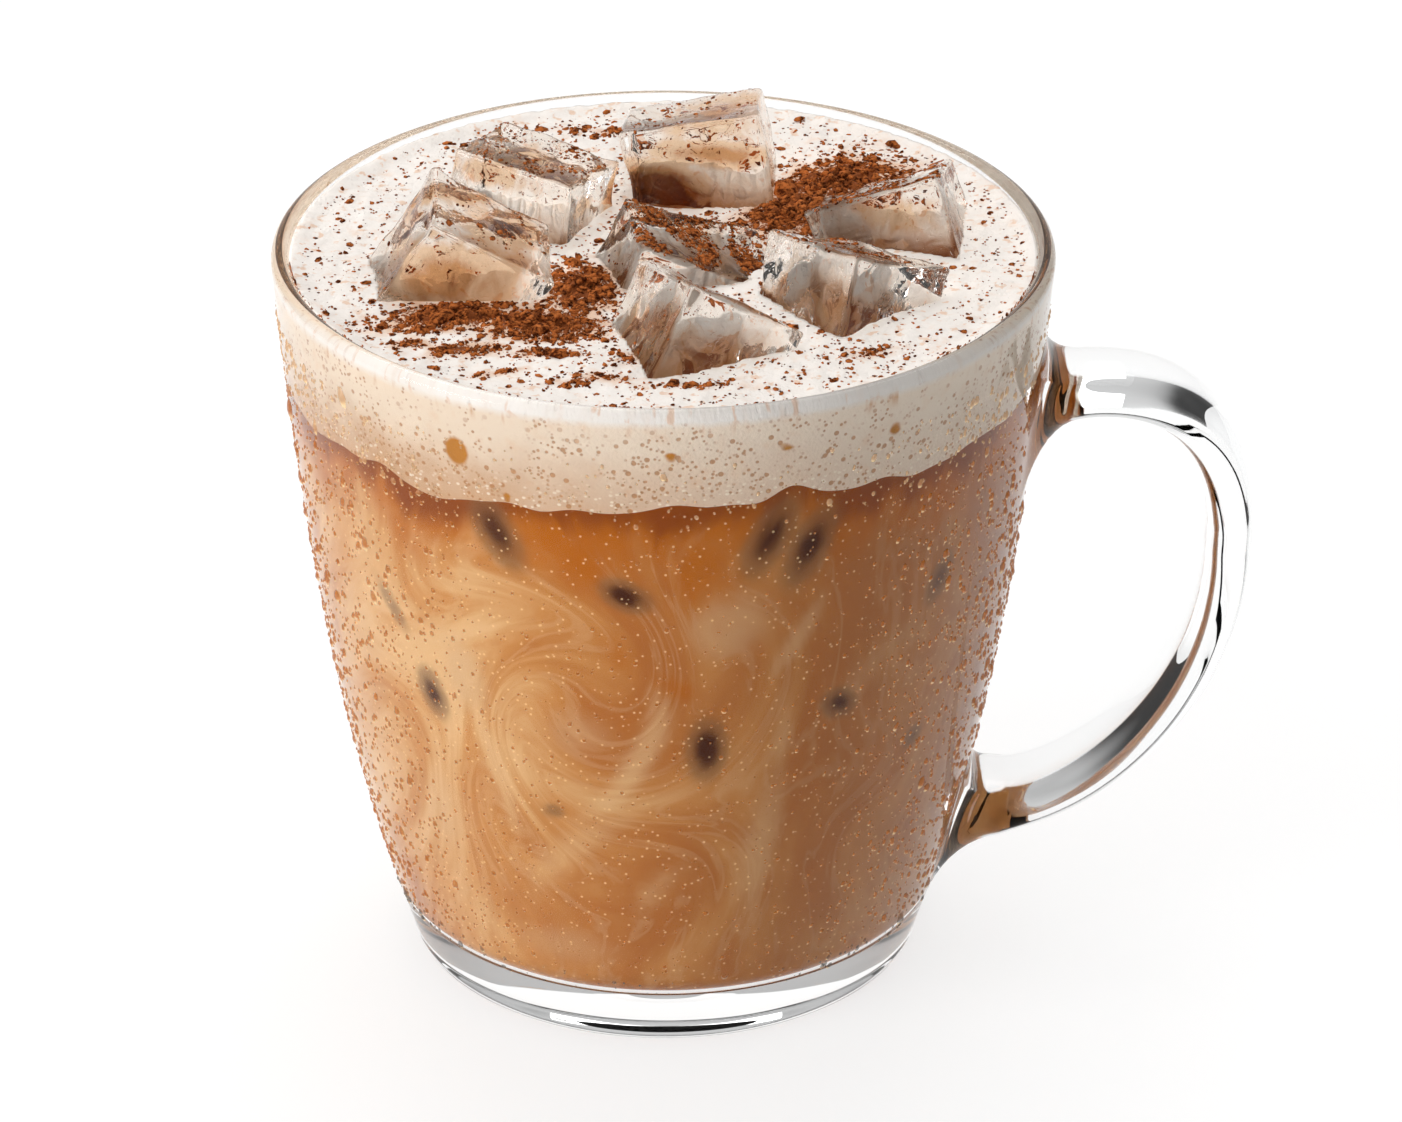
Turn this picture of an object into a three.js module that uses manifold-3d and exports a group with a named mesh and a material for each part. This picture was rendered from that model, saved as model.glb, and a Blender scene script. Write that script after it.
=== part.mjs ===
// An iced cappuccino in a clear glass mug: the mug with its loop handle, the coffee,
// a thick cap of milk foam dusted with cocoa, and seven ice cubes standing in the foam.
// Millimetres, +Z up. The origin lies on the mug's axis, on the surface it stands on.
// The handle points along +X and the drink is seen from -Y.

import * as THREE from 'three';
import { RoundedBoxGeometry } from 'three/addons/geometries/RoundedBoxGeometry.js';
import { mergeVertices } from 'three/addons/utils/BufferGeometryUtils.js';
import Module from 'manifold-3d';

// Mug wall
const MUG_HEIGHT = 99.1;
const FOOT_RADIUS = 33.1; // where the side's curve would meet the table
const SIDE_LEAN = 8.5; // growth of the radius that is even over the height
const SIDE_BELLY = 8.4; // growth of the radius that comes mostly near the foot
const FOOT_CORNER = 2.6; // rounding between the side and the flat underside
const LIP_THICKNESS = 2.4;
const WALL_THICKNESS = 3.0; // below the lip
const LIP_TAPER_HEIGHT = 20; // the wall thickens from lip to full over this height
const FLOOR_HEIGHT = 7.2; // top of the clear glass base, inside
const FLOOR_CORNER = 5; // rounding between the inner floor and the wall

// Handle: two cubic curves in the plane y = 0, from the upper root to the lower one
const HANDLE_UPPER = [[45.2, 77.4], [75, 86], [73.6, 60.5], [73.3, 57.5]];
const HANDLE_LOWER = [[73.3, 57.5], [73.3, 33.2], [52, 15.4], [38.6, 18.4]];
const HANDLE_HALF_DEPTH = 3.2; // in the handle's own plane
const HANDLE_HALF_WIDTH = 7.2; // across it
const HANDLE_SQUARENESS = 2.5; // exponent of the section's rounded outline
const UPPER_ROOT_FLARE = 2.4; // extra half depth where the handle meets the wall
const LOWER_ROOT_FLARE = 2.6;
const ROOT_FLARE_LENGTH = 5.2;

// Drink
const GAP = 0.3; // clearance between neighbouring pieces
const FOAM_TOP = 97.6;
const FOAM_UNDERSIDE = 76.5; // in the middle, out of sight
const COFFEE_CLIMB = 7.5; // how much higher the coffee stands against the glass
const COFFEE_TILT = 1.2; // more climb on one side, and as much less on the other
const COFFEE_TILT_TOWARDS = 0.75; // the side of the most climb, in radians right of the front
const COFFEE_WAVE = 0.5; // slow wave of the line between coffee and foam
const FOAM_BULGE = 0.35; // soft billows of the foam's top
const EDGE_CLIMB = 0.5; // the foam clings to the glass

// Cocoa dusting, as piles on the foam: centre, half lengths, turn in degrees, height
const COCOA_PILES = [
  { x: -21, y: -19.5, along: 14, across: 5.5, turn: 4, height: 1.3 },
  { x: -22, y: -29.5, along: 9, across: 4, turn: 12, height: 0.8 },
  { x: -8.5, y: -13.5, along: 7, across: 5, turn: -35, height: 1.1 },
  { x: 14.5, y: 11, along: 7, across: 6, turn: 50, height: 1.2 },
  { x: 21, y: 22, along: 9, across: 7, turn: 30, height: 1.3 },
  { x: 28, y: -30, along: 6, across: 2.5, turn: 25, height: 0.6 },
];
const COCOA_LUMP_PITCH = 3.4; // spacing of the lumps inside a pile

// Ice cubes: centre, turns about X, Y and Z in degrees, and width, depth and height
const ICE_CORNER = 1.2;
const ICE_UNEVENNESS = 0.55; // how far a corner strays from a true box
const ICE_CUBES = [
  { name: 'ice_left', at: [-26.0, -8.4, 98.6], turn: [14, 31, 8], size: [17.4, 13, 17.9] },
  { name: 'ice_back_left', at: [-17.6, 12.2, 96.9], turn: [-6, 6, -28], size: [17.6, 13, 18] },
  { name: 'ice_back', at: [5.4, 22.2, 98.2], turn: [-10, -11, -3], size: [17.8, 15.5, 18] },
  { name: 'ice_centre', at: [1.2, -3.5, 94.0], turn: [14, 22, 16], size: [18.6, 12.5, 16.3] },
  { name: 'ice_front', at: [3.6, -25.9, 95.4], turn: [-15, 31, 17], size: [16.8, 17.5, 16.6] },
  { name: 'ice_right', at: [22.6, -14.2, 95.4], turn: [-23, -6, -48], size: [16.4, 16.4, 16.9] },
  { name: 'ice_far_right', at: [30.0, 6.6, 95.1], turn: [-16, -20, -7], size: [17.4, 15.5, 16.5] },
];

// Fineness of the faceted surfaces
const TURNS = 56; // facets round the axis
const SIDE_STEPS = 9;
const CORNER_STEPS = 4;
const LIP_STEPS = 6;
const HANDLE_STEPS = 34;
const HANDLE_SIDES = 14;
const FOAM_RINGS = 13;
const UNDERSIDE_RINGS = 5;

const wasm = await Module();
wasm.setup();

const { cos, sin, sqrt, exp, abs, sign, hypot, atan2, PI } = Math;
const degrees = THREE.MathUtils.degToRad;
const { lerp, smoothstep } = THREE.MathUtils;

// Evenly spaced values from one number to another, both included.
function steps(from, to, count) {
  return Array.from({ length: count + 1 }, (_, i) => lerp(from, to, i / count));
}

// Repeatable random numbers between 0 and 1.
function seededRandom(seed) {
  let state = seed;
  return () => {
    state = (Math.imul(state, 1664525) + 1013904223) >>> 0;
    return state / 2 ** 32;
  };
}

// The geometry with its shared vertices merged and its flat triangles dropped.
function welded(geometry) {
  const bare = geometry.clone();
  bare.deleteAttribute('normal');
  bare.deleteAttribute('uv');
  const merged = mergeVertices(bare, 1e-3);
  const index = merged.index.array;
  const kept = [];
  for (let i = 0; i < index.length; i += 3) {
    const [a, b, c] = [index[i], index[i + 1], index[i + 2]];
    if (a !== b && b !== c && c !== a) kept.push(a, b, c);
  }
  merged.setIndex(kept);
  return merged;
}

function toSolid(geometry) {
  const mesh = welded(geometry);
  return new wasm.Manifold(new wasm.Mesh({
    numProp: 3,
    vertProperties: new Float32Array(mesh.attributes.position.array),
    triVerts: new Uint32Array(mesh.index.array),
  }));
}

function toGeometry(solid) {
  const mesh = solid.getMesh();
  const geometry = new THREE.BufferGeometry();
  geometry.setAttribute('position', new THREE.BufferAttribute(mesh.vertProperties, 3));
  geometry.setIndex(new THREE.BufferAttribute(mesh.triVerts, 1));
  geometry.computeVertexNormals();
  return geometry;
}

// Turns a profile of [radius, height] pairs about the vertical axis.
function turned(profile) {
  const points = profile.map(([radius, height]) => new THREE.Vector2(radius, height));
  return new THREE.LatheGeometry(points, TURNS).rotateX(PI / 2);
}

// Mug

// Radius of the mug's outer side at a height.
function outerRadius(z) {
  const t = z / MUG_HEIGHT;
  return FOOT_RADIUS + SIDE_LEAN * t + SIDE_BELLY * (1 - (1 - t) ** 3);
}

// Radius of the mug's inner side at a height, with the rounded corner above the floor.
function innerRadius(z) {
  const taper = smoothstep(MUG_HEIGHT - z, 0, LIP_TAPER_HEIGHT);
  const wall = outerRadius(z) - lerp(LIP_THICKNESS, WALL_THICKNESS, taper);
  const below = Math.max(0, (FLOOR_HEIGHT + FLOOR_CORNER - z) / FLOOR_CORNER);
  return wall - FLOOR_CORNER * (1 - sqrt(Math.max(0, 1 - below ** 2)));
}

// Heights that climb the floor's rounded corner, close together where it is flattest.
function cornerHeights() {
  return steps(0, PI / 2, CORNER_STEPS).map((a) => FLOOR_HEIGHT + FLOOR_CORNER * (1 - cos(a)));
}

function mugProfile() {
  const lipCentre = MUG_HEIGHT - LIP_THICKNESS / 2;
  const lipRadius = outerRadius(lipCentre) - LIP_THICKNESS / 2;
  const footRadius = outerRadius(FOOT_CORNER);
  const foot = steps(0, PI / 2, CORNER_STEPS).map((a) => [
    footRadius - FOOT_CORNER * (1 - sin(a)),
    FOOT_CORNER * (1 - cos(a)),
  ]);
  const side = steps(FOOT_CORNER, lipCentre, SIDE_STEPS).map((z) => [outerRadius(z), z]);
  const lip = steps(0, PI, LIP_STEPS).map((a) => [
    lipRadius + (LIP_THICKNESS / 2) * cos(a),
    lipCentre + (LIP_THICKNESS / 2) * sin(a),
  ]);
  const inside = steps(lipCentre, FLOOR_HEIGHT + FLOOR_CORNER, SIDE_STEPS).map((z) => [
    innerRadius(z), z,
  ]);
  const corner = cornerHeights().reverse().map((z) => [innerRadius(z), z]);
  return [
    [0, 0],
    ...foot,
    ...side.slice(1, -1),
    ...lip,
    ...inside.slice(1, -1),
    ...corner,
    [0, FLOOR_HEIGHT],
  ];
}

function handlePath() {
  const path = new THREE.CurvePath();
  for (const corners of [HANDLE_UPPER, HANDLE_LOWER]) {
    const [a, b, c, d] = corners.map(([x, z]) => new THREE.Vector3(x, 0, z));
    path.add(new THREE.CubicBezierCurve3(a, b, c, d));
  }
  return path;
}

// Half depth of the handle at a distance along it: it flares into both roots.
function handleHalfDepth(distance, length) {
  const upper = UPPER_ROOT_FLARE * exp(-((distance / ROOT_FLARE_LENGTH) ** 2));
  const lower = LOWER_ROOT_FLARE * exp(-(((length - distance) / ROOT_FLARE_LENGTH) ** 2));
  return HANDLE_HALF_DEPTH + upper + lower;
}

// A rounded oval of half sizes HANDLE_HALF_WIDTH and 1, swept along the path and then
// thickened section by section.
function handleGeometry() {
  const outline = [];
  for (let i = 0; i < HANDLE_SIDES; i += 1) {
    const angle = (2 * PI * i) / HANDLE_SIDES;
    const [c, s] = [cos(angle), sin(angle)];
    outline.push(new THREE.Vector2(
      HANDLE_HALF_WIDTH * sign(c) * abs(c) ** (2 / HANDLE_SQUARENESS),
      sign(s) * abs(s) ** (2 / HANDLE_SQUARENESS),
    ));
  }
  const path = handlePath();
  const length = path.getLength();
  const geometry = new THREE.ExtrudeGeometry(new THREE.Shape(outline), {
    steps: HANDLE_STEPS,
    extrudePath: path,
  });
  const centres = path.getSpacedPoints(HANDLE_STEPS);
  const positions = geometry.attributes.position;
  const vertex = new THREE.Vector3();
  for (let i = 0; i < positions.count; i += 1) {
    vertex.fromBufferAttribute(positions, i);
    const flat = vertex.clone().setY(0);
    const distances = centres.map((centre) => centre.distanceTo(flat));
    const nearest = distances.indexOf(Math.min(...distances));
    const along = (length * nearest) / HANDLE_STEPS;
    const offset = flat.sub(centres[nearest]).multiplyScalar(handleHalfDepth(along, length));
    vertex.set(centres[nearest].x + offset.x, vertex.y, centres[nearest].z + offset.z);
    positions.setXYZ(i, vertex.x, vertex.y, vertex.z);
  }
  return geometry;
}

// The handle's roots are cut off flush with the middle of the wall before it is joined,
// so that nothing stands out inside the glass.
function mugGeometry() {
  const core = turned([
    [0, 0],
    ...steps(0, MUG_HEIGHT, SIDE_STEPS).map((z) => [outerRadius(z) - WALL_THICKNESS / 2, z]),
    [0, MUG_HEIGHT],
  ]);
  const handle = toSolid(handleGeometry()).subtract(toSolid(core));
  return toGeometry(toSolid(turned(mugProfile())).add(handle));
}

// Coffee and foam

// Height of the line between coffee and foam: low in the middle, and higher against the
// glass, where it is tilted a little and has a slow wave.
function foamUnderside(x, y) {
  const angle = atan2(x, -y);
  const reach = hypot(x, y) / innerRadius(FOAM_UNDERSIDE);
  const climb = COFFEE_CLIMB + COFFEE_TILT * cos(angle - COFFEE_TILT_TOWARDS);
  const wave = COFFEE_WAVE * sin(5 * angle + 0.6);
  return FOAM_UNDERSIDE + (climb + wave) * smoothstep(reach, 0.72, 1);
}

// Height of the cocoa above the foam: soft-edged oval piles broken up into lumps.
function cocoaRelief(x, y) {
  let height = 0;
  for (const pile of COCOA_PILES) {
    const turn = degrees(pile.turn);
    const along = ((x - pile.x) * cos(turn) + (y - pile.y) * sin(turn)) / pile.along;
    const across = ((y - pile.y) * cos(turn) - (x - pile.x) * sin(turn)) / pile.across;
    height += pile.height * exp(-(along ** 2 + across ** 2));
  }
  const pitch = (2 * PI) / COCOA_LUMP_PITCH;
  const lumps = 0.5 + 0.5 * sin(pitch * x + 1.3 * sin(0.9 * y)) * sin(pitch * y + sin(0.7 * x));
  return height * (0.55 + 0.9 * lumps);
}

// Height of the foam's top, cocoa included.
function foamTop(x, y) {
  const billow = FOAM_BULGE * sin(0.23 * x + 0.8) * cos(0.27 * y - 0.4);
  const reach = hypot(x, y) / innerRadius(FOAM_TOP);
  const edge = smoothstep(reach, 0.94, 1);
  return FOAM_TOP + billow * (1 - edge) + EDGE_CLIMB * edge + cocoaRelief(x, y) * (1 - edge);
}

// Moves the vertices that lie on one flat layer of a turned solid to a new height, and
// spreads them as the glass widens, so that the layer still reaches the wall.
function shapeLayer(geometry, layer, height) {
  const positions = geometry.attributes.position;
  for (let i = 0; i < positions.count; i += 1) {
    if (abs(positions.getZ(i) - layer) > 1e-3) continue;
    const [x, y] = [positions.getX(i), positions.getY(i)];
    const z = height(x, y);
    const spread = (innerRadius(z) - GAP) / (innerRadius(layer) - GAP);
    positions.setXYZ(i, x * spread, y * spread, z);
  }
  return geometry;
}

function coffeeGeometry() {
  const top = FOAM_UNDERSIDE - GAP;
  const radius = (z) => innerRadius(Math.max(FLOOR_HEIGHT, z - GAP)) - GAP;
  const corner = cornerHeights().map((z) => [radius(z + GAP), z + GAP]);
  const sideTop = FLOOR_HEIGHT + FLOOR_CORNER + GAP;
  const side = steps(sideTop, top, SIDE_STEPS).map((z) => [radius(z), z]);
  const surface = steps(radius(top), 0, UNDERSIDE_RINGS).map((r) => [r, top]);
  const geometry = turned([
    [0, FLOOR_HEIGHT + GAP],
    ...corner,
    ...side.slice(1, -1),
    ...surface,
  ]);
  return shapeLayer(geometry, top, (x, y) => foamUnderside(x, y) - GAP);
}

function foamGeometry(iceSolids) {
  const radius = (z) => innerRadius(z) - GAP;
  const underside = steps(0, radius(FOAM_UNDERSIDE), UNDERSIDE_RINGS);
  const surface = steps(radius(FOAM_TOP), 0, FOAM_RINGS);
  const geometry = turned([
    ...underside.map((r) => [r, FOAM_UNDERSIDE]),
    [radius(90), 90],
    ...surface.map((r) => [r, FOAM_TOP]),
  ]);
  shapeLayer(geometry, FOAM_UNDERSIDE, foamUnderside);
  shapeLayer(geometry, FOAM_TOP, foamTop);
  const foam = iceSolids.reduce((rest, ice) => rest.subtract(ice), toSolid(geometry));
  return toGeometry(foam);
}

// Ice

// A box with rounded edges whose eight corners each stray by a repeatable small amount;
// the points between follow in proportion.
function iceGeometry(size, seed, grow, fineness) {
  const [width, depth, height] = size.map((length) => length + 2 * grow);
  const geometry = new RoundedBoxGeometry(width, depth, height, fineness, ICE_CORNER + grow);
  const random = seededRandom(seed);
  const strays = Array.from({ length: 24 }, () => (2 * random() - 1) * ICE_UNEVENNESS);
  const positions = geometry.attributes.position;
  for (let i = 0; i < positions.count; i += 1) {
    const place = [positions.getX(i), positions.getY(i), positions.getZ(i)];
    const share = place.map((value, axis) => 0.5 + value / [width, depth, height][axis]);
    for (let corner = 0; corner < 8; corner += 1) {
      const ends = [corner & 1, (corner >> 1) & 1, (corner >> 2) & 1];
      const weight = ends.reduce((w, end, axis) => w * (end ? share[axis] : 1 - share[axis]), 1);
      for (let axis = 0; axis < 3; axis += 1) place[axis] += weight * strays[3 * corner + axis];
    }
    positions.setXYZ(i, ...place);
  }
  return geometry;
}

function placeIce(object, cube) {
  object.position.set(...cube.at);
  object.rotation.set(...cube.turn.map(degrees), 'ZYX');
  object.updateMatrix();
  return object;
}

// The room that a cube takes in the foam, its clearance included.
function iceRoom(cube, seed) {
  const placed = placeIce(new THREE.Object3D(), cube);
  return toSolid(iceGeometry(cube.size, seed, GAP, 1).applyMatrix4(placed.matrix));
}

// Materials

function material(color, roughness, options = {}) {
  return new THREE.MeshStandardMaterial({ color, roughness, metalness: 0, ...options });
}

const clear = { transparent: true, opacity: 0.3 };

function piece(name, geometry, finish) {
  const mesh = new THREE.Mesh(geometry, finish);
  mesh.name = name;
  return mesh;
}

const drink = new THREE.Group();
const rooms = ICE_CUBES.map((cube, index) => iceRoom(cube, index + 1));
drink.add(piece('mug', mugGeometry(), material(0xf2f4f4, 0.03, clear)));
drink.add(piece('coffee', welded(coffeeGeometry()), material(0xb98a62, 0.35)));
drink.add(piece('milk_foam', foamGeometry(rooms), material(0xf6efe6, 0.7)));
ICE_CUBES.forEach((cube, index) => {
  const geometry = welded(iceGeometry(cube.size, index + 1, 0, 2));
  drink.add(placeIce(piece(cube.name, geometry, material(0xe9eef2, 0.05, clear)), cube));
});

export default drink;
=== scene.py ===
import math

import bpy
import numpy as np
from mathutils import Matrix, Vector


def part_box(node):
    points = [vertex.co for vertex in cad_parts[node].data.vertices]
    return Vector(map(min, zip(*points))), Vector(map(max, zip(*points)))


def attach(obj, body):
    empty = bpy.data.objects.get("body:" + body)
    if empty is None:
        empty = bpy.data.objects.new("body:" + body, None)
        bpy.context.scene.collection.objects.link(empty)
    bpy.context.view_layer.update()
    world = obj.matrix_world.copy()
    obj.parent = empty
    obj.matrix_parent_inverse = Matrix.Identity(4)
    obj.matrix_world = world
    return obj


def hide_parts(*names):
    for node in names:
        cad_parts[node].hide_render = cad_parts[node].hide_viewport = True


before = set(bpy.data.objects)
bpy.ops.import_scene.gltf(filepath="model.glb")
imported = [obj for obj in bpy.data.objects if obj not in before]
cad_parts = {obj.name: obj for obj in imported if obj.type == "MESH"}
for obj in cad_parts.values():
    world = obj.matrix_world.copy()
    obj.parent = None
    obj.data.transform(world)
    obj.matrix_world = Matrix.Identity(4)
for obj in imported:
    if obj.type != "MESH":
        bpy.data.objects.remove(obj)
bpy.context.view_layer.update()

# An iced cappuccino in a clear glass mug, in metres, +Z up, seen from -Y.
# Shapes are arrays of points worked out from the sizes below and from the frame.

MM = 0.001

# Mug
MUG_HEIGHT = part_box("mug")[1].z
FOOT_RADIUS = 33.1 * MM
SIDE_LEAN = 8.5 * MM
SIDE_BELLY = 8.4 * MM
FOOT_CORNER = 2.6 * MM
LIP_THICKNESS = 2.4 * MM
WALL_THICKNESS = 3.0 * MM
LIP_TAPER_HEIGHT = 20 * MM
FLOOR_HEIGHT = 7.2 * MM
FLOOR_CORNER = 5 * MM
PUNT_DEPTH = 0.5 * MM
PUNT_SHARES = (0.55, 0.93)
MOULD_RING_HEIGHT = 0.15 * MM
MOULD_RING_RADIUS = 3 * MM
MOULD_RING_WIDTH = 0.8 * MM
POLE_RADIUS = 1 * MM
MUG_TURNS = 256
SIDE_ROWS = 86
COFFEE_TURNS = 512

# Handle: the corners of two cubic curves in the plane y = 0, as (x, z)
HANDLE_UPPER = np.array([(45.2, 77.4), (75, 86), (73.6, 60.5), (73.3, 57.5)]) * MM
HANDLE_LOWER = np.array([(73.3, 57.5), (73.3, 33.2), (52, 15.4), (38.6, 18.4)]) * MM
HANDLE_HALF_DEPTH = 3.2 * MM
HANDLE_HALF_WIDTH = 7.2 * MM
HANDLE_SQUARENESS = 2.5
UPPER_ROOT_FLARE = 2.4 * MM
LOWER_ROOT_FLARE = 2.6 * MM
ROOT_FLARE_LENGTH = 5.2 * MM
ROOT_FILLET = 3.6 * MM
ROOT_PULL = 0.62
ROOT_HALF_COLUMNS = 11
ROOT_HALF_HEIGHT = 9.5 * MM

# Drink
INTO_WALL = 0.1 * MM
PAST_COFFEE = 0.04 * MM
FOAM_OVERLAP = 0.35 * MM
FOAM_TOP = 97.6 * MM
FOAM_UNDERSIDE = 76.5 * MM
COFFEE_CLIMB = 7.5 * MM
COFFEE_TILT = 1.2 * MM
COFFEE_TILT_TOWARDS = 0.75
COFFEE_WAVE = 0.5 * MM
FOAM_BULGE = 0.35 * MM
EDGE_CLIMB = 0.5 * MM
COCOA_RELIEF = 0.9 * MM
PIT_CLEARANCE = 0.3 * MM
PIT_LEAST_DEPTH = 0.55 * MM

# Foam line: bends as angle and width in degrees and height, and short waves as their
# number round the mug, shift and height
FOAM_LINE_BENDS = ((19, 4, 1.7), (-36, 8, -1.3), (-63, 13, -1.3))
FOAM_LINE_WAVES = ((13, 1.2, 0.26), (22, 0.3, 0.2), (31, 2.0, 0.16), (43, 0.0, 0.1))

# Refractive index of the coffee over that of the glass
COFFEE_IN_GLASS = 1.34 / 1.5

# Cocoa piles: centre x and y, half lengths along and across, turn in degrees, height
COCOA_PILES = (
    (-26, -19.5, 8, 3.8, 8, 1.3),
    (-15, -21.5, 8, 4.4, -4, 1.3),
    (-10, -11.5, 7.5, 4.5, 80, 1.2),
    (-31, -27, 2.6, 1.3, 0, 0.7),
    (-24, -28.4, 5, 1.8, 6, 0.8),
    (-14.6, -29.8, 4, 1.7, -8, 0.7),
    (-20, -34.9, 3.4, 0.9, 15, 0.55),
    (-3.5, -31, 2.6, 2.2, 0, 0.5),
    (16.5, 12, 8, 5.5, 52, 1.3),
    (22.5, 21.5, 9, 6, 35, 1.3),
    (31, 23, 5, 2.5, 10, 0.8),
    (25, -30, 5, 1.6, 15, 0.5),
    (-9, -37.5, 5, 1.4, 6, 0.55),
    (3, -39, 6, 1.2, 0, 0.45),
    (-8, 38, 6, 1.6, -6, 0.5),
    (-2, 8, 4, 3, 0, 0.6),
)

# Marks against the glass: angle from the front in degrees, height, half width, half
# height, lean in degrees, strength
SUNKEN_ICE = (
    (-26, 79, 2.6, 5.0, 28, 0.75),
    (-6, 72.2, 3.2, 1.9, -25, 0.9),
    (-42, 52, 2.0, 3.4, 15, 0.8),
    (7, 49.1, 2.2, 4.2, 0, 1.0),
    (30, 53.1, 2.4, 2.0, -30, 0.75),
    (16, 79.8, 2.5, 5.4, -25, 0.8),
    (23, 78, 2.5, 5.4, -25, 0.85),
    (49, 66.6, 2.0, 3.6, -25, 0.6),
    (48, 43.3, 1.6, 2.0, -35, 0.5),
    (-49, 62.7, 1.4, 4.4, 35, 0.4),
    (-20, 38.2, 1.6, 1.2, 0, 0.45),
    (120, 60, 2.4, 4.0, 20, 0.7),
    (165, 72, 2.8, 3.0, -15, 0.8),
    (-150, 50, 2.2, 3.6, 10, 0.7),
    (-110, 66, 2.4, 3.0, 30, 0.6),
    (90, 40, 2.0, 3.0, 0, 0.5),
)
FOAM_POCKETS = (
    (-32, 89.7, 1.9, 2.2, 0, 1.0),
    (1, 92.3, 1.2, 0.8, 0, 0.8),
    (18, 92.6, 1.8, 0.9, -12, 0.6),
    (36, 91.7, 1.3, 1.3, 0, 0.7),
    (-24, 84.6, 0.8, 0.9, 0, 0.7),
    (-60, 88, 1.0, 1.0, 0, 0.5),
    (100, 88, 1.6, 1.4, 0, 0.8),
    (170, 90, 1.8, 1.6, 0, 0.9),
    (-130, 89, 1.5, 1.2, 0, 0.7),
)

# Swirls of the coffee: angle from the front, height, reach, turn in degrees
SWIRLS = (
    (-14, 55, 13, 150),
    (-36, 66, 8, -90),
    (6, 66, 10, -110),
    (-4, 33, 12, -95),
    (-24, 38, 9, 100),
    (42, 34, 10, 60),
    (-60, 45, 14, -140),
    (80, 45, 15, 180),
    (115, 62, 14, -160),
    (150, 40, 15, 190),
    (-175, 60, 14, -150),
    (-135, 42, 15, 170),
    (-100, 62, 13, -160),
)

# Strands of milk against the glass: stops as angle and height, half width, strength
MILK_STRANDS = (
    (((27, 72), (21, 64), (17, 58)), 1.5, 0.6),
    (((47, 63), (36, 57), (29, 50)), 2.2, 0.45),
    (((19, 54), (18, 38), (16, 27), (16, 16)), 2.1, 0.6),
    (((22, 61), (20, 50), (19, 41)), 1.2, 0.45),
    (((-32, 61), (-33, 50), (-30, 41), (-26, 28)), 1.4, 0.75),
    (((-3, 60), (-2, 52), (-8, 43), (-20, 34)), 1.9, 0.7),
    (((-1, 41), (-12, 36), (-22, 29), (-26, 20)), 2.1, 0.5),
    (((7, 32), (-1, 27), (-5, 18)), 2.0, 0.4),
)
# Clouds of milk and of darker coffee, as the marks above
MILK_CLOUDS = (
    (10, 67.5, 6.5, 6.0, 20, 0.8),
    (-34, 56, 3.4, 6.5, 10, 0.9),
    (-14, 51, 7.0, 5.5, 0, 0.6),
    (-20, 16, 10, 5.0, 0, 0.6),
    (-80, 45, 9.0, 16, 0, 0.6),
    (-44, 33, 8.0, 9.0, 0, 0.5),
)
AMBER_CLOUDS = (
    (-13, 78, 6.0, 7.0, 0, 1.0),
    (-44, 76, 5.0, 9.0, 25, 0.9),
    (6, 76, 7.0, 9.0, 0, 0.95),
    (-66, 77, 6.0, 6.0, 0, 0.9),
    (30, 79, 8.0, 5.0, 0, 0.7),
    (2, 58.5, 5.0, 2.2, -30, 0.7),
    (-8, 64, 3.0, 6.0, 40, 0.6),
)

ICE_NODES = sorted(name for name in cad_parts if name.startswith("ice_"))
ICE_CORNER = 1.2 * MM
ICE_EDGE = 0.5 * MM
ICE_DENT = 0.17 * MM
ICE_SMALL_DENT = 0.045 * MM
ICE_HOLLOW = 0.35 * MM

# Coffee on the ice: centre x, y and z, reach along x, y and z, strength
ICE_STAINS = (
    (-1.5, 15.5, 98.5, 6.0, 4.2, 3.8, 2.6),
    (6, 15, 104.5, 9, 3.5, 1.8, 1.1),
    (8, 22, 108, 9, 7, 3, 1.05),
    (14, 20, 101, 2.5, 6, 6, 0.6),
    (-27, -13, 101, 9, 7, 5, 1.25),
    (-28, -6, 106, 7, 6, 2, 0.85),
    (-20, -8, 104, 6, 5, 2, 0.8),
    (-33, -12, 100, 2, 4, 5, 0.6),
    (-20, 10, 105, 8, 6, 2, 0.8),
    (-12, 7, 101, 3.5, 3, 1.6, 0.9),
    (11, -24, 101, 5, 4, 1.8, 1.0),
    (6, -31, 92, 6, 4, 3, 0.6),
    (-4, -24, 100, 2.5, 4, 4, 0.4),
    (14, -24, 95, 4, 5, 4, 0.4),
    (30, 2, 102, 7, 6, 2.5, 0.6),
    (37, 4, 98, 3, 5, 4, 0.45),
    (0, -4, 100, 8, 6, 3, 0.7),
)


# Grains of cocoa: how far they keep from the glass, and half lengths on ice and at the rim
GRAINS_FROM_GLASS = 1.2 * MM
ICE_GRAIN = 0.15 * MM
RIM_GRAIN = 0.14 * MM

# Drops: lowest and highest, and the space they leave at the handle's roots
DROPS_FROM = 9 * MM
DROPS_TO = 92 * MM
ROOT_CLEAR_HEIGHT = 11 * MM
UPPER_CLEAR_WIDTH = 14 * MM
LOWER_CLEAR_WIDTH = 12 * MM


# Numbers


def smoothstep(value, low, high):
    """0 below low, 1 above high, and 3 t squared less 2 t cubed between."""
    t = np.clip((value - low) / (high - low), 0, 1)
    return t * t * (3 - 2 * t)


def signed_power(value, exponent):
    """The size of a value to a power, with the value's own sign."""
    return np.sign(value) * np.abs(value) ** exponent


def bell(distance):
    """A bell curve: 1 at no distance, falling as e to the power of minus its square."""
    return np.exp(-(distance**2))


def wrapped(angle):
    """The same angle, between half a turn back and half a turn on."""
    return (angle + np.pi) % (2 * np.pi) - np.pi


def unit(vectors):
    """Each vector divided by its length."""
    return vectors / np.linalg.norm(vectors, axis=-1)[..., None]


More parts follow.
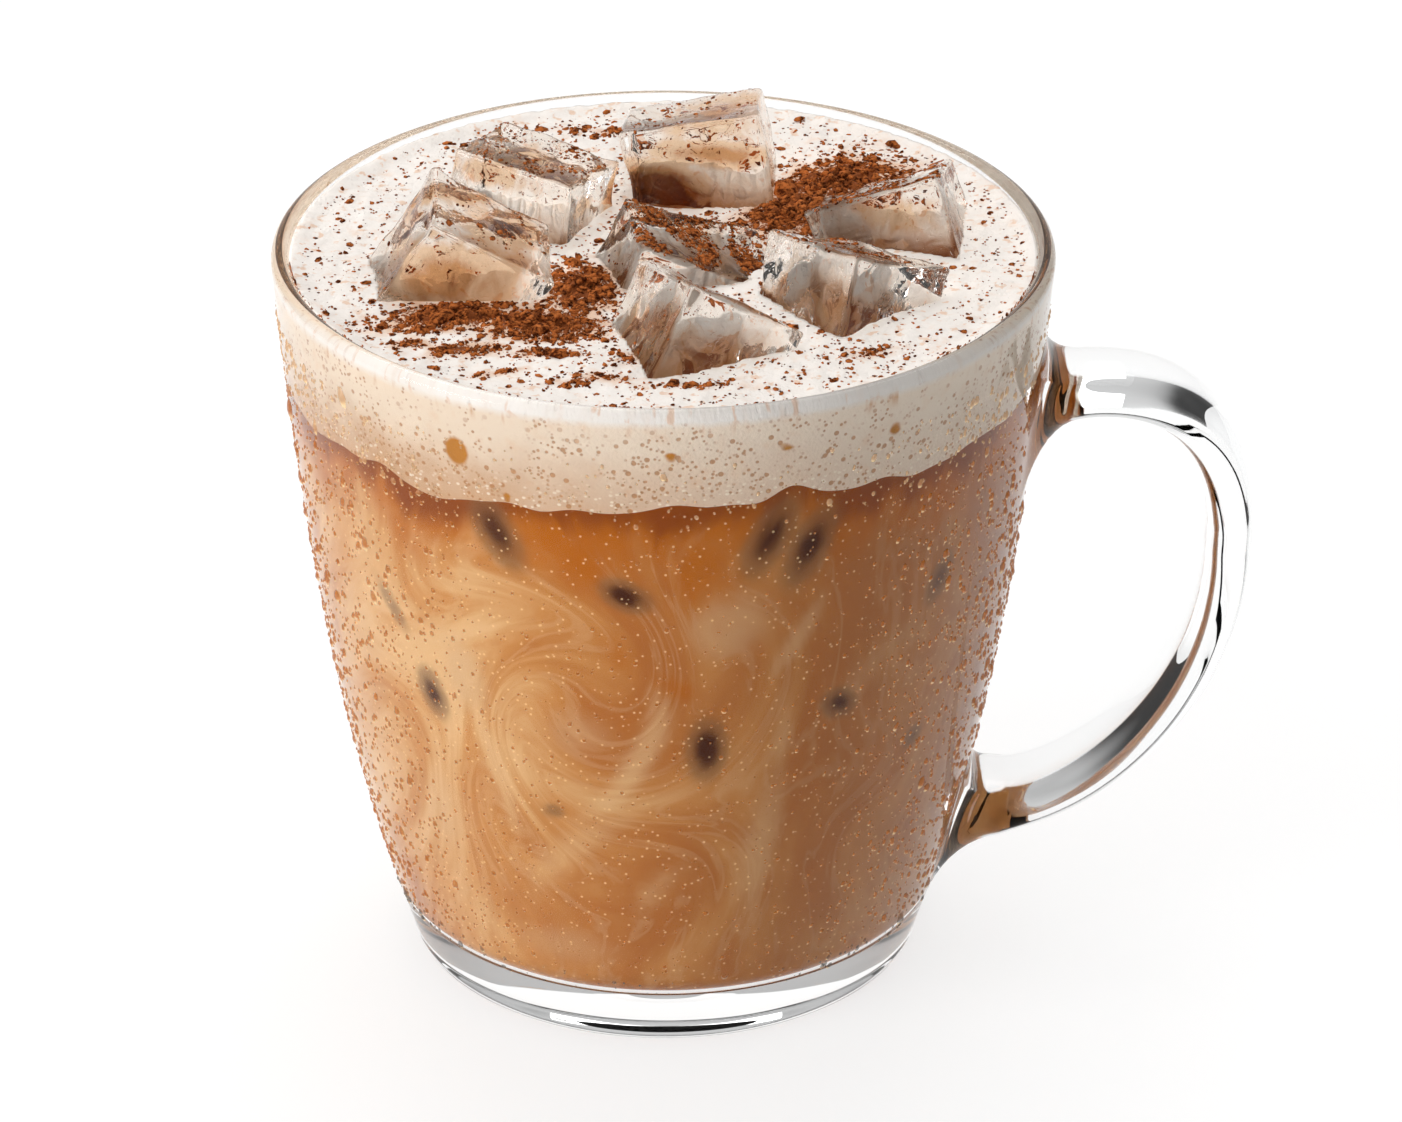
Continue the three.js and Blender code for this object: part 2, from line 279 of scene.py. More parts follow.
def cubic(a, b, c, d, t):
    """Points of the cubic curve from a to d that is drawn towards b and c."""
    return (1 - t) ** 3 * a + 3 * (1 - t) ** 2 * t * b + 3 * (1 - t) * t * t * c + t**3 * d


def from_front(radius, angle, z):
    """Points at a radius from the axis, an angle from the front and a height."""
    return np.stack([radius * np.sin(angle), -radius * np.cos(angle), z], -1)


def ripples(points, wavelength, seed, waves=24):
    """Smooth random heights of about unit size: a sum of cosines of plane waves whose
    directions, phases and lengths near the given one are drawn by the seed."""
    draw = np.random.default_rng(seed)
    directions = unit(draw.normal(size=(waves, points.shape[-1])))
    lengths = wavelength * draw.uniform(0.7, 1.5, waves)
    phases = draw.uniform(0, 2 * np.pi, waves)
    total = np.zeros(points.shape[:-1])
    for direction, length, phase in zip(directions, lengths, phases):
        total += np.cos(points @ direction * (2 * np.pi / length) + phase)
    return total * math.sqrt(2 / waves)


# Meshes


def grid_faces(rows, columns, wrap=True):
    """Four-cornered faces between neighbouring rows of points numbered row by row."""
    across = columns if wrap else columns - 1
    row, column = np.meshgrid(np.arange(rows - 1), np.arange(across), indexing="ij")
    here = row * columns + column
    beside = row * columns + (column + 1) % columns
    return np.stack([here, beside, beside + columns, here + columns], -1).reshape(-1, 4)


def cap_faces(ring, pole, below=False):
    """Triangles between a ring of point numbers and a pole above it, or below it."""
    faces = np.stack([ring, np.roll(ring, -1), np.full_like(ring, pole)], -1)
    return faces[:, ::-1] if below else faces


def new_piece(name, points, face_sets, material, replaced=(), attributes=()):
    """A smooth closed piece of the object, its place in its mesh, riding on the body."""
    mesh = bpy.data.meshes.new(name)
    mesh.vertices.add(len(points))
    mesh.vertices.foreach_set("co", np.ascontiguousarray(points, np.float32).ravel())
    corners = np.concatenate([faces.ravel() for faces in face_sets]).astype(np.int32)
    sizes = np.concatenate([np.full(len(f), f.shape[1]) for f in face_sets])
    starts = np.concatenate([[0], np.cumsum(sizes)[:-1]]).astype(np.int32)
    mesh.loops.add(len(corners))
    mesh.loops.foreach_set("vertex_index", corners)
    mesh.polygons.add(len(sizes))
    mesh.polygons.foreach_set("loop_start", starts)
    mesh.polygons.foreach_set("use_smooth", np.ones(len(sizes), bool))
    mesh.update(calc_edges=True)
    mesh.validate()
    for key, values in dict(attributes).items():
        kind = "FLOAT_VECTOR" if values.ndim == 2 else "FLOAT"
        field = "vector" if values.ndim == 2 else "value"
        layer = mesh.attributes.new(key, kind, "POINT")
        layer.data.foreach_set(field, np.ascontiguousarray(values, np.float32).ravel())
    mesh.materials.append(material)
    piece = bpy.data.objects.new(name, mesh)
    bpy.context.scene.collection.objects.link(piece)
    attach(piece, "root")
    if replaced:
        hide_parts(*replaced)


def turned_points(profile, turns=MUG_TURNS):
    """Points of a half outline of radii and heights carried round the axis, row by row.
    The first point of each row is opposite the handle, and the handle is half way."""
    angles = -np.pi + 2 * np.pi * np.arange(turns) / turns
    radius, height = profile[:, 0, None], profile[:, 1, None]
    flat = [radius * np.cos(angles), radius * np.sin(angles), height + 0 * angles]
    return np.stack(flat, -1)


def copies(shape, faces, places, axes, sizes):
    """Many copies of one small shape as one set of points and faces: each copy is the
    shape scaled along its own three axes and moved to its place."""
    local = shape[None] * sizes[:, None, :]
    points = places[:, None, :] + np.einsum("nki,nij->nkj", local, axes)
    shifts = len(shape) * np.arange(len(places))
    return points.reshape(-1, 3), (faces[None] + shifts[:, None, None]).reshape(-1, faces.shape[1])


# Mug shape


def outer_radius(z):
    """Radius of the mug's side: the foot's, plus an even lean, plus a belly that fades
    with the cube of the height that is left."""
    t = z / MUG_HEIGHT
    return FOOT_RADIUS + SIDE_LEAN * t + SIDE_BELLY * (1 - (1 - t) ** 3)


def inner_radius(z):
    """Radius of the hollow: the side less the wall, which thins towards the lip, less
    a quarter-circle corner above the floor."""
    taper = smoothstep(MUG_HEIGHT - z, 0, LIP_TAPER_HEIGHT)
    wall = LIP_THICKNESS + (WALL_THICKNESS - LIP_THICKNESS) * taper
    below = np.maximum(0, (FLOOR_HEIGHT + FLOOR_CORNER - z) / FLOOR_CORNER)
    corner = FLOOR_CORNER * (1 - np.sqrt(np.maximum(0, 1 - below**2)))
    return outer_radius(z) - wall - corner


def corner_heights(count):
    """Heights up the floor's rounded corner, closest together at the floor."""
    return FLOOR_HEIGHT + FLOOR_CORNER * (1 - np.cos(np.linspace(0, np.pi / 2, count)))


def mug_profile():
    """Half outline of the glass: underside, foot corner, side, round lip, inner wall,
    corner and floor. The second result is the row where the side begins."""
    contact = outer_radius(FOOT_CORNER) - FOOT_CORNER
    under = np.linspace(POLE_RADIUS, contact, 26)[:-1]
    start, end = PUNT_SHARES
    rise = PUNT_DEPTH * (1 - smoothstep(under, start * contact, end * contact))
    mould_ring = MOULD_RING_HEIGHT * bell((under - MOULD_RING_RADIUS) / MOULD_RING_WIDTH)
    angle = np.linspace(0, np.pi / 2, 10)
    foot_r = contact + FOOT_CORNER * np.sin(angle)
    foot_z = FOOT_CORNER * (1 - np.cos(angle))
    lip_z = MUG_HEIGHT - LIP_THICKNESS / 2
    side_z = np.linspace(FOOT_CORNER, lip_z, SIDE_ROWS + 2)[1:-1]
    lip = np.linspace(0, np.pi, 17)
    lip_r = outer_radius(lip_z) - LIP_THICKNESS / 2 + LIP_THICKNESS / 2 * np.cos(lip)
    inner_z = np.linspace(lip_z, FLOOR_HEIGHT + FLOOR_CORNER, 60)[1:-1]
    corner_z = corner_heights(12)[::-1]
    floor = np.linspace(inner_radius(FLOOR_HEIGHT), POLE_RADIUS, 14)[1:]
    radii = [under, foot_r, outer_radius(side_z), lip_r]
    radii += [inner_radius(inner_z), inner_radius(corner_z), floor]
    heights = [rise + mould_ring, foot_z, side_z, lip_z + LIP_THICKNESS / 2 * np.sin(lip)]
    heights += [inner_z, corner_z, np.full(len(floor), FLOOR_HEIGHT)]
    return np.stack([np.concatenate(radii), np.concatenate(heights)], -1), len(under) + len(foot_r)


def handle_route(spacing=0.9 * MM):
    """Evenly spaced points, directions, outward normals and distances along the
    handle's middle line, which is two cubic curves end to end."""
    t = np.linspace(0, 1, 300)[:, None]
    line = np.concatenate([cubic(*HANDLE_UPPER, t), cubic(*HANDLE_LOWER, t)[1:]])
    far = np.concatenate([[0], np.cumsum(np.linalg.norm(np.diff(line, axis=0), axis=1))])
    at = np.linspace(0, far[-1], int(far[-1] / spacing) + 1)
    centre = np.stack([np.interp(at, far, line[:, 0]), np.interp(at, far, line[:, 1])], -1)
    along = unit(np.gradient(centre, axis=0))
    out = np.stack([-along[:, 1], along[:, 0]], -1)
    return centre, along, out, at


def handle_sections(angles):
    """Rings of the handle: at each point of its line, a rounded oval whose half depth
    flares towards both roots as a bell curve of the distance."""
    centre, along, out, at = handle_route()
    depth = HANDLE_HALF_DEPTH + UPPER_ROOT_FLARE * bell(at / ROOT_FLARE_LENGTH)
    depth = depth + LOWER_ROOT_FLARE * bell((at[-1] - at) / ROOT_FLARE_LENGTH)
    across = signed_power(np.cos(angles), 2 / HANDLE_SQUARENESS)
    outward = signed_power(np.sin(angles), 2 / HANDLE_SQUARENESS)
    x = centre[:, None, 0] + depth[:, None] * outward * out[:, None, 0]
    z = centre[:, None, 1] + depth[:, None] * outward * out[:, None, 1]
    y = np.broadcast_to(HANDLE_HALF_WIDTH * across, x.shape)
    direction = np.stack([along[:, 0], 0 * at, along[:, 1]], -1)
    return np.stack([x, y, z], -1), direction, centre


def on_wall(points, direction):
    """Each point slid along a direction until it lies on the mug's side."""
    slid = points.copy()
    for _ in range(6):
        wall_x = np.sqrt(outer_radius(slid[:, 2]) ** 2 - slid[:, 1] ** 2)
        slid = slid + ((wall_x - slid[:, 0]) / direction[0])[:, None] * direction
    return slid


def root_rings(edge, ring, direction, count=9):
    """Rings from the opening's edge in the wall to the handle's first ring: cubic curves
    that leave the wall along its surface and join the handle along its own line."""
    foot = on_wall(ring, direction)
    slope = (outer_radius(edge[:, 2] + MM) - outer_radius(edge[:, 2])) / MM
    around = np.arctan2(edge[:, 1], edge[:, 0])
    normal = unit(np.stack([np.cos(around), np.sin(around), -slope], -1))
    inward = foot - edge
    inward -= normal * np.sum(inward * normal, axis=1)[:, None]
    first = edge + ROOT_PULL * inward
    second = ring + ROOT_PULL * (foot - ring)
    return cubic(edge, first, second, ring, np.linspace(0, 1, count + 1)[1:, None, None])


def root_opening(points, side_row, height, upward):
    """The opening that a root takes in the side: the row and column ranges of the faces
    left out, and the numbers of the points on its edge in order of the handle's angle."""
    middle = MUG_TURNS // 2
    rows = np.arange(side_row, side_row + SIDE_ROWS)
    heights = points[rows, 0, 2]
    count = int(round(ROOT_HALF_HEIGHT / (heights[1] - heights[0])))
    centre_row = side_row + int(np.argmin(np.abs(heights - height)))
    low, high = centre_row - count, centre_row + count
    left, right = middle - ROOT_HALF_COLUMNS, middle + ROOT_HALF_COLUMNS
    row, column = np.meshgrid(np.arange(low, high + 1), np.arange(left, right + 1), indexing="ij")
    edge = (row == low) | (row == high) | (column == left) | (column == right)
    row, column = row[edge], column[edge]
    up = (row - centre_row) / count * (1 if upward else -1)
    side = (column - middle) / ROOT_HALF_COLUMNS
    angles = np.arctan2(up, side)
    order = np.argsort(angles)
    return (low, high, left, right), (row * MUG_TURNS + column)[order], angles[order]


def mug_mesh():
    """The turned glass and the handle as one closed surface. The faces at each root are
    left out, and rings carry the opening's edge over into the handle."""
    profile, side_row = mug_profile()
    wall = turned_points(profile)
    _, _, centre = handle_sections(np.zeros(1))
    upper, upper_edge, angles = root_opening(wall, side_row, centre[0, 1], True)
    lower, lower_edge, _ = root_opening(wall, side_row, centre[-1, 1], False)
    rings, direction, centre = handle_sections(angles)
    clear = np.hypot(rings[..., 0], rings[..., 1]) - outer_radius(rings[..., 2])
    outside = np.nonzero(clear.min(axis=1) > ROOT_FILLET)[0]
    start, end = outside[0], outside[-1]
    flat = wall.reshape(-1, 3)
    upper_rings = root_rings(flat[upper_edge], rings[start], direction[start])
    lower_rings = root_rings(flat[lower_edge], rings[end], direction[end])
    bridge = np.concatenate([upper_rings, rings[start + 1 : end], lower_rings[::-1]])
    points = np.concatenate([flat, bridge.reshape(-1, 3), [[0, 0, profile[0, 1]], [0, 0, FLOOR_HEIGHT]]])

    rows, sides = len(profile), len(angles)
    faces = grid_faces(rows, MUG_TURNS)
    row, column = faces[:, 0] // MUG_TURNS, faces[:, 0] % MUG_TURNS
    kept = np.ones(len(faces), bool)
    for low, high, left, right in (upper, lower):
        kept &= ~((row >= low) & (row < high) & (column >= left) & (column < right))
    first = len(flat) + np.arange(len(bridge) * sides).reshape(-1, sides)
    numbers = np.concatenate([upper_edge[None], first, lower_edge[None]])
    beside = np.roll(numbers, -1, axis=1)
    sleeve = np.stack([numbers[:-1], beside[:-1], beside[1:], numbers[1:]], -1).reshape(-1, 4)
    first_row = np.arange(MUG_TURNS)
    last_row = (rows - 1) * MUG_TURNS + first_row
    bottom = cap_faces(first_row, len(points) - 2, below=True)
    floor = cap_faces(last_row, len(points) - 1)
    return points, [faces[kept], sleeve, bottom, floor]


# Drink shapes


def around_front(points):
    """Angle of each point round the axis, from the front (-Y), towards +X."""
    return np.arctan2(points[..., 0], -points[..., 1])


def foam_line(angle):
    """Height of the line between coffee and foam against the glass: tilted a little, with a
    slow wave, scallops of several lengths, one notch right of the front and two sags left
    of it."""
    climb = COFFEE_CLIMB + COFFEE_TILT * np.cos(angle - COFFEE_TILT_TOWARDS)
    wave = COFFEE_WAVE * np.sin(5 * angle + 0.6)
    local = np.zeros(np.shape(angle))
    for at, width, height in FOAM_LINE_BENDS:
        local = local + height * bell((angle - math.radians(at)) / math.radians(width))
    small = np.zeros(np.shape(angle))
    for waves, shift, height in FOAM_LINE_WAVES:
        small = small + height * np.sin(waves * angle + shift)
    return FOAM_UNDERSIDE + climb + wave + (local + small) * MM


def wall_marks(points, marks):
    """Strength of the marks against the glass: oval bell curves round each mark, leaning
    by its angle, measured along the wall and up it. Overlaps take the strongest."""
    angle, radius = around_front(points), np.hypot(points[..., 0], points[..., 1])
    total = np.zeros(angle.shape)
    for at, height, half_width, half_height, lean, strength in marks:
        away = wrapped(angle - math.radians(at))
        along, up = away * radius / MM, points[..., 2] / MM - height
        c, s = math.cos(math.radians(lean)), math.sin(math.radians(lean))
        across = (c * along + s * up) / half_width
        upward = (c * up - s * along) / half_height
        total = np.maximum(total, strength * np.exp(-(across**2 + upward**2) * 1.2))
    return total


def wall_strands(points, strands):
    """Strength of the strands against the glass: a bell curve of the distance to each
    strand's line, a smooth cubic through its stops at most, measured along the wall and up
    it, with a little wandering. A strand fades towards its ends, and overlaps take the
    strongest."""
    radius = np.hypot(points[:, 0], points[:, 1])
    wander = np.radians(0.5) * ripples(points, 14 * MM, 61)
    angle = around_front(points) + wander
    share = np.linspace(0, 1, 48)
    total = np.zeros(len(points))
    for stops, half_width, strength in strands:
        at = np.linspace(0, 1, len(stops))
        bends = min(len(stops) - 1, 3)
        line_angle, line_height = (np.polyval(np.polyfit(at, [stop[part] for stop in stops], bends), share)
                                   for part in (0, 1))
        away = wrapped(angle[:, None] - np.radians(line_angle))
        along = away * radius[:, None] / MM
        up = points[:, 2, None] / MM - line_height
        wide = half_width * (0.7 + 0.6 * np.sin(np.pi * share))
        near = np.exp(-(along**2 + up**2) / wide**2) * np.sin(np.pi * (0.06 + 0.88 * share))
        total = np.maximum(total, strength * near.max(axis=1))
    return total


def shaded_side(points):
    """How far round towards +X and the back a point lies, on the side away from the key light:
    0 at the front left to 1 at the right, eased. It masks painted shade on the coffee and painted
    light on the foam's side."""
    away = np.abs(wrapped(around_front(points) - math.radians(75)))
    return smoothstep(-away, -math.radians(125), -math.radians(30))


def swirled(points):
    """The points in millimetres after each swirl has turned its neighbourhood about the
    axis that runs out through the wall: the turn fades as a bell curve of distance."""
    moved = points / MM
    for at, height, reach, turn in SWIRLS:
        angle = math.radians(at)
        outward = np.array([math.sin(angle), -math.cos(angle), 0])
        centre = outward * outer_radius(height * MM) / MM + np.array([0, 0, height])
        away = moved - centre
        fade = np.exp(-np.sum(away**2, axis=-1) / reach**2)
        by = (math.radians(turn) * fade)[..., None]
        along = (away @ outward)[..., None] * outward
        flat = away - along
        moved = centre + along + flat * np.cos(by) + np.cross(outward, flat) * np.sin(by)
    return moved


def coffee_mesh():
    """The coffee: its floor, rounded corner and side reach just into the glass, and its
    side ends at the wavy foam line, closed by a shallow lid."""
    radius = lambda z: inner_radius(z) + INTO_WALL
    bottom = FLOOR_HEIGHT - INTO_WALL
    floor_r = np.linspace(POLE_RADIUS, radius(FLOOR_HEIGHT), 20)[:-1]
    corner_z = corner_heights(14)
    lower = np.stack([np.concatenate([floor_r, radius(corner_z)]),
                      np.concatenate([np.full(len(floor_r), bottom), corner_z - INTO_WALL])], -1)
    base = turned_points(lower, COFFEE_TURNS)
    angle = around_front(base[0])
    start = corner_z[-1]
    share = np.concatenate([np.linspace(0, 1, 101)[1:-1], [0.997, 0.999, 1]])[:, None]
    z = start + (foam_line(angle) - start) * share
    side = from_front(radius(z), angle, z)
    inwards = np.linspace(1, 0, 9)[1:-1, None]
    lid_z = FOAM_UNDERSIDE + (foam_line(angle) - FOAM_UNDERSIDE) * smoothstep(inwards, 0.7, 1)
    lid = from_front(radius(foam_line(angle)) * inwards, angle, lid_z)
    grid = np.concatenate([base, side, lid])
    points = np.concatenate([grid.reshape(-1, 3), [[0, 0, bottom], [0, 0, FOAM_UNDERSIDE]]])
    first = np.arange(COFFEE_TURNS)
    last = (len(grid) - 1) * COFFEE_TURNS + first
    caps = [cap_faces(first, len(points) - 2, below=True), cap_faces(last, len(points) - 1)]
    return points, [grid_faces(len(grid), COFFEE_TURNS), *caps]


def cocoa_density(x, y):
    """How thickly cocoa lies, 0 to about 1: oval bell curves round the piles. Overlaps
    take the thickest."""
    total = np.zeros(np.shape(x))
    for px, py, half_along, half_across, turn, height in COCOA_PILES:
        c, s = math.cos(math.radians(turn)), math.sin(math.radians(turn))
        dx, dy = x / MM - px, y / MM - py
        along, across = (c * dx + s * dy) / half_along, (c * dy - s * dx) / half_across
        total = np.maximum(total, height / 1.3 * np.exp(-(along**2 + across**2)))
    return total


def foam_top(x, y):
    """Height of the foam's top: slow billows, a climb at the glass, small dimples, and
    the cocoa's lumpy relief."""
    flat = np.stack([x, y], -1)
    billow = FOAM_BULGE * np.sin(0.23 * x / MM + 0.8) * np.cos(0.27 * y / MM - 0.4)
    reach = np.hypot(x, y) / inner_radius(FOAM_TOP)
    edge = smoothstep(reach, 0.94, 1)
    dimples = 0.05 * MM * ripples(flat, 3.2 * MM, 11) + 0.02 * MM * ripples(flat, 1.3 * MM, 12)
    lumps = 0.5 + 0.32 * ripples(flat, 2.6 * MM, 13) + 0.22 * ripples(flat, 1.2 * MM, 14)
    cocoa = COCOA_RELIEF * smoothstep(cocoa_density(x, y), 0.25, 1.0) * np.clip(lumps, 0, 1.6)
    return FOAM_TOP + (billow + cocoa) * (1 - edge) + EDGE_CLIMB * edge + dimples


def disc_points(count):
    """A square grid bent onto the unit disc: squares of the grid become rings, with the
    angle along a ring in step with the place along the square's side."""
    line = np.linspace(-1, 1, count)
    a, b = np.meshgrid(line, line, indexing="xy")
    wide = np.abs(a) >= np.abs(b)
    safe_a, safe_b = np.where(a == 0, 1, a), np.where(b == 0, 1, b)
    radius = np.where(wide, a, b)
    angle = np.where(wide, np.pi / 4 * b / safe_a, np.pi / 2 - np.pi / 4 * a / safe_b)
    return radius * np.cos(angle), radius * np.sin(angle)


def sunk_by_ice(points, planes_of_cubes):
    """The foam's top pushed down to a cube's lower faces wherever the foam's level is
    inside the cube by more than a grid cell. The second result is how far."""
    lowered = points.copy()
    for normals, offsets in planes_of_cubes:
        depth = (offsets - points @ normals.T).min(axis=-1)
        down = normals[:, 2] < -0.05
        level = (points[..., :2] @ normals[down, :2].T - offsets[down]) / -normals[down, 2]
        floor = level.max(axis=-1) + PIT_CLEARANCE
        inside = depth > PIT_LEAST_DEPTH
        lowered[..., 2] = np.where(inside, np.minimum(lowered[..., 2], floor), lowered[..., 2])
    return lowered, points[..., 2] - lowered[..., 2]


def foam_mesh(planes_of_cubes, count=233):
    """The foam: a fine top that reaches just into the glass, pits where the ice stands,
    a side down to the foam line, and a hidden underside."""
    edge_radius = inner_radius(FOAM_TOP) + INTO_WALL
    x, y = disc_points(count)
    x, y = x * edge_radius, y * edge_radius
    top, sunk = sunk_by_ice(np.stack([x, y, foam_top(x, y)], -1), planes_of_cubes)
    number = np.arange(count * count).reshape(count, count)
    rim = np.concatenate([number[0, :-1], number[:-1, -1], number[-1, :0:-1], number[:0:-1, 0]])
    flat_top = top.reshape(-1, 3)
    angle = around_front(flat_top[rim])
    rim_z = flat_top[rim, 2]
    share = np.concatenate([np.linspace(0, 1, 15)[1:-1], [0.985, 0.995, 1]])[:, None]
    z = rim_z + (foam_line(angle) - FOAM_OVERLAP - rim_z) * share
    side = from_front(inner_radius(z) + INTO_WALL + PAST_COFFEE, angle, z)
    under = side[-1] * np.array([1, 1, 0]) * 0.7 + np.array([0, 0, FOAM_UNDERSIDE])
    ring = np.concatenate([side, under[None]])
    points = np.concatenate([flat_top, ring.reshape(-1, 3), [[0, 0, FOAM_UNDERSIDE]]])
    rows = np.concatenate([rim[None], len(flat_top) + np.arange(ring[..., 0].size).reshape(-1, len(rim))])
    beside = np.roll(rows, -1, axis=1)
    wall = np.stack([rows[:-1], rows[1:], beside[1:], beside[:-1]], -1).reshape(-1, 4)
    bottom = cap_faces(rows[-1], len(points) - 1, below=True)
    faces = [grid_faces(count, count, wrap=False), wall, bottom]
    extra = len(points) - len(flat_top)
    depth = np.concatenate([sunk.ravel(), np.zeros(extra)]) / MM
    return points, faces, depth


# Ice shapes


def ice_corners(node):
    """The eight corners of an ice cube's box, found on its solid: its axes are the
    normals of its largest faces, and each corner is the farthest point along a diagonal,
    moved out to where the flat faces would meet."""
    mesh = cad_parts[node].data
    points = np.zeros(len(mesh.vertices) * 3)
    mesh.vertices.foreach_get("co", points)
    triangles = points.reshape(-1, 3, 3)
    normal = np.cross(triangles[:, 1] - triangles[:, 0], triangles[:, 2] - triangles[:, 0])
    area = np.linalg.norm(normal, axis=1)
    normal /= area[:, None]
    first = normal[np.argmax(area)]
    beside = np.abs(normal @ first) < 0.4
    second = normal[beside][np.argmax(area[beside])]
    second -= first * (first @ second)
    second /= np.linalg.norm(second)
    axes = np.stack([first, second, np.cross(first, second)])
    up = np.argmax(np.abs(axes[:, 2]))
    axes = np.roll(axes, 2 - up, axis=0)
    axes[2] *= np.sign(axes[2, 2])
    if np.linalg.det(axes) < 0:
        axes[0] *= -1
    signs = np.array([(i, j, k) for i in (-1, 1) for j in (-1, 1) for k in (-1, 1)])
    diagonals = signs @ axes
    flat = points.reshape(-1, 3)
    found = flat[np.argmax(flat @ diagonals.T, axis=0)]
    return found + diagonals * ICE_CORNER * (1 - 1 / math.sqrt(3))


def cube_planes(corners):
    """Outward normals and offsets of the six sides through an uneven box's corners."""
    grid = corners.reshape(2, 2, 2, 3)
    middle = corners.mean(axis=0)
    sides = [grid[0], grid[1], grid[:, 0], grid[:, 1], grid[:, :, 0], grid[:, :, 1]]
    normals, offsets = [], []
    for side in sides:
        normal = np.cross(side[1, 1] - side[0, 0], side[1, 0] - side[0, 1])
        normal /= np.linalg.norm(normal)
        normal *= np.sign(normal @ (side.mean(axis=(0, 1)) - middle))
        normals.append(normal)
        offsets.append(normal @ side.mean(axis=(0, 1)))
    return np.array(normals), np.array(offsets)


def ice_mesh(corners, seed, count=44):
    """An ice cube: points of a box drawn in to round edges, dented by slow ripples, and
    carried to the eight corners, each point in proportion to its place in the box."""
    spread = np.sin(np.linspace(-np.pi / 2, np.pi / 2, count)) * 0.35
    line = spread + 0.65 * np.linspace(-1, 1, count)
    u, v = np.meshgrid(line, line, indexing="ij")
    one = np.ones_like(u)
    faces, sides = [], []
    for axis in range(3):
        for sign in (-1, 1):
            parts = [None, None, None]
            parts[axis] = sign * one
            parts[(axis + 1) % 3] = u if sign > 0 else v
            parts[(axis + 2) % 3] = v if sign > 0 else u
            sides.append(np.stack(parts, -1).reshape(-1, 3))
            faces.append(grid_faces(count, count, wrap=False)[:, ::-1] + len(faces) * count * count)
    box = np.concatenate(sides)
    grid = corners.reshape(2, 2, 2, 3)
    half = np.array([np.linalg.norm(grid[1] - grid[0], axis=-1).mean(),
                     np.linalg.norm(grid[:, 1] - grid[:, 0], axis=-1).mean(),
                     np.linalg.norm(grid[:, :, 1] - grid[:, :, 0], axis=-1).mean()]) / 2
    place = box * half
    core = np.clip(place, ICE_EDGE - half, half - ICE_EDGE)
    outward = unit(place - core)
    dent = ICE_DENT * ripples(place, 8 * MM, seed)
    dent = dent + ICE_SMALL_DENT * ripples(place, 3 * MM, seed + 50)
    hollow = ICE_HOLLOW * np.prod(1 - (place / half) ** 2 * (1 - np.abs(outward)), axis=1)
    place = core + outward * (ICE_EDGE + dent - hollow)[:, None]
    share = (place / half + 1) / 2
    weights = [np.where(end, share[:, axis, None], 1 - share[:, axis, None])
               for axis in range(3) for end in (0, 1)]
    points = np.zeros_like(place)
    for number, corner in enumerate(corners):
        i, j, k = number >> 2 & 1, number >> 1 & 1, number & 1
        points += weights[i] * weights[2 + j] * weights[4 + k] * corner
    key = np.round(points / (0.002 * MM)).astype(np.int64)
    _, index, inverse = np.unique(key, axis=0, return_index=True, return_inverse=True)
    return points[index], inverse.reshape(-1)[np.concatenate(faces)]


# Small things


def grain_shape():
    """A twenty-sided grain: the corners of an icosahedron at unit distance."""
    golden = (1 + math.sqrt(5)) / 2
    corners = []
    for a, b in ((-1, golden), (1, golden), (-1, -golden), (1, -golden)):
        corners += [(a, b, 0), (0, a, b), (b, 0, a)]
    corners = np.array(corners) / math.hypot(1, golden)
    gaps = np.linalg.norm(corners[:, None] - corners[None], axis=-1)
    near = (gaps > 0.1) & (gaps < 1.1)
    faces = []
    for i in range(12):
        for j in range(i + 1, 12):
            for k in range(j + 1, 12):
                if near[i, j] and near[j, k] and near[i, k]:
                    out = np.cross(corners[j] - corners[i], corners[k] - corners[i]) @ corners[i]
                    faces.append((i, j, k) if out > 0 else (i, k, j))
    return corners, np.array(faces)


def random_axes(draw, count, tilt):
    """Frames turned by any angle about the vertical and tipped a little."""
    turn = draw.uniform(0, 2 * np.pi, count)
    up = np.stack([draw.normal(0, tilt, count), draw.normal(0, tilt, count), np.ones(count)], -1)
    return frames_about(up, turn)


def frames_about(up, turn):
    """Frames whose third axis is up, turned about it by an angle."""
    up = unit(up)
    helper = np.where(np.abs(up[:, :1]) < 0.8, np.array([[1.0, 0, 0]]), np.array([[0, 1.0, 0]]))
    side = unit(np.cross(helper, up))
    other = np.cross(up, side)
    c, s = np.cos(turn)[:, None], np.sin(turn)[:, None]
    return np.stack([c * side + s * other, c * other - s * side, up], axis=1)


def ice_stain(points):
    """Coffee on a cube's faces: a film below the foam's level, and oval bell curves round
    the placed stains. Overlaps take the strongest."""
    total = 0.3 * smoothstep(-points[:, 2], -FOAM_TOP - 1 * MM, -FOAM_TOP + 5 * MM)
    for x, y, z, reach_x, reach_y, reach_z, strength in ICE_STAINS:
        away = (points / MM - (x, y, z)) / (reach_x, reach_y, reach_z)
        total = np.maximum(total, strength * np.exp(-np.sum(away**2, axis=1)))
    return total


def clear_of_ice(points, planes_of_cubes, margin):
    """Which points lie outside every cube by the margin."""
    outside = np.ones(len(points), bool)
    for normals, offsets in planes_of_cubes:
        outside &= (points @ normals.T - offsets).max(axis=1) > margin
    return outside


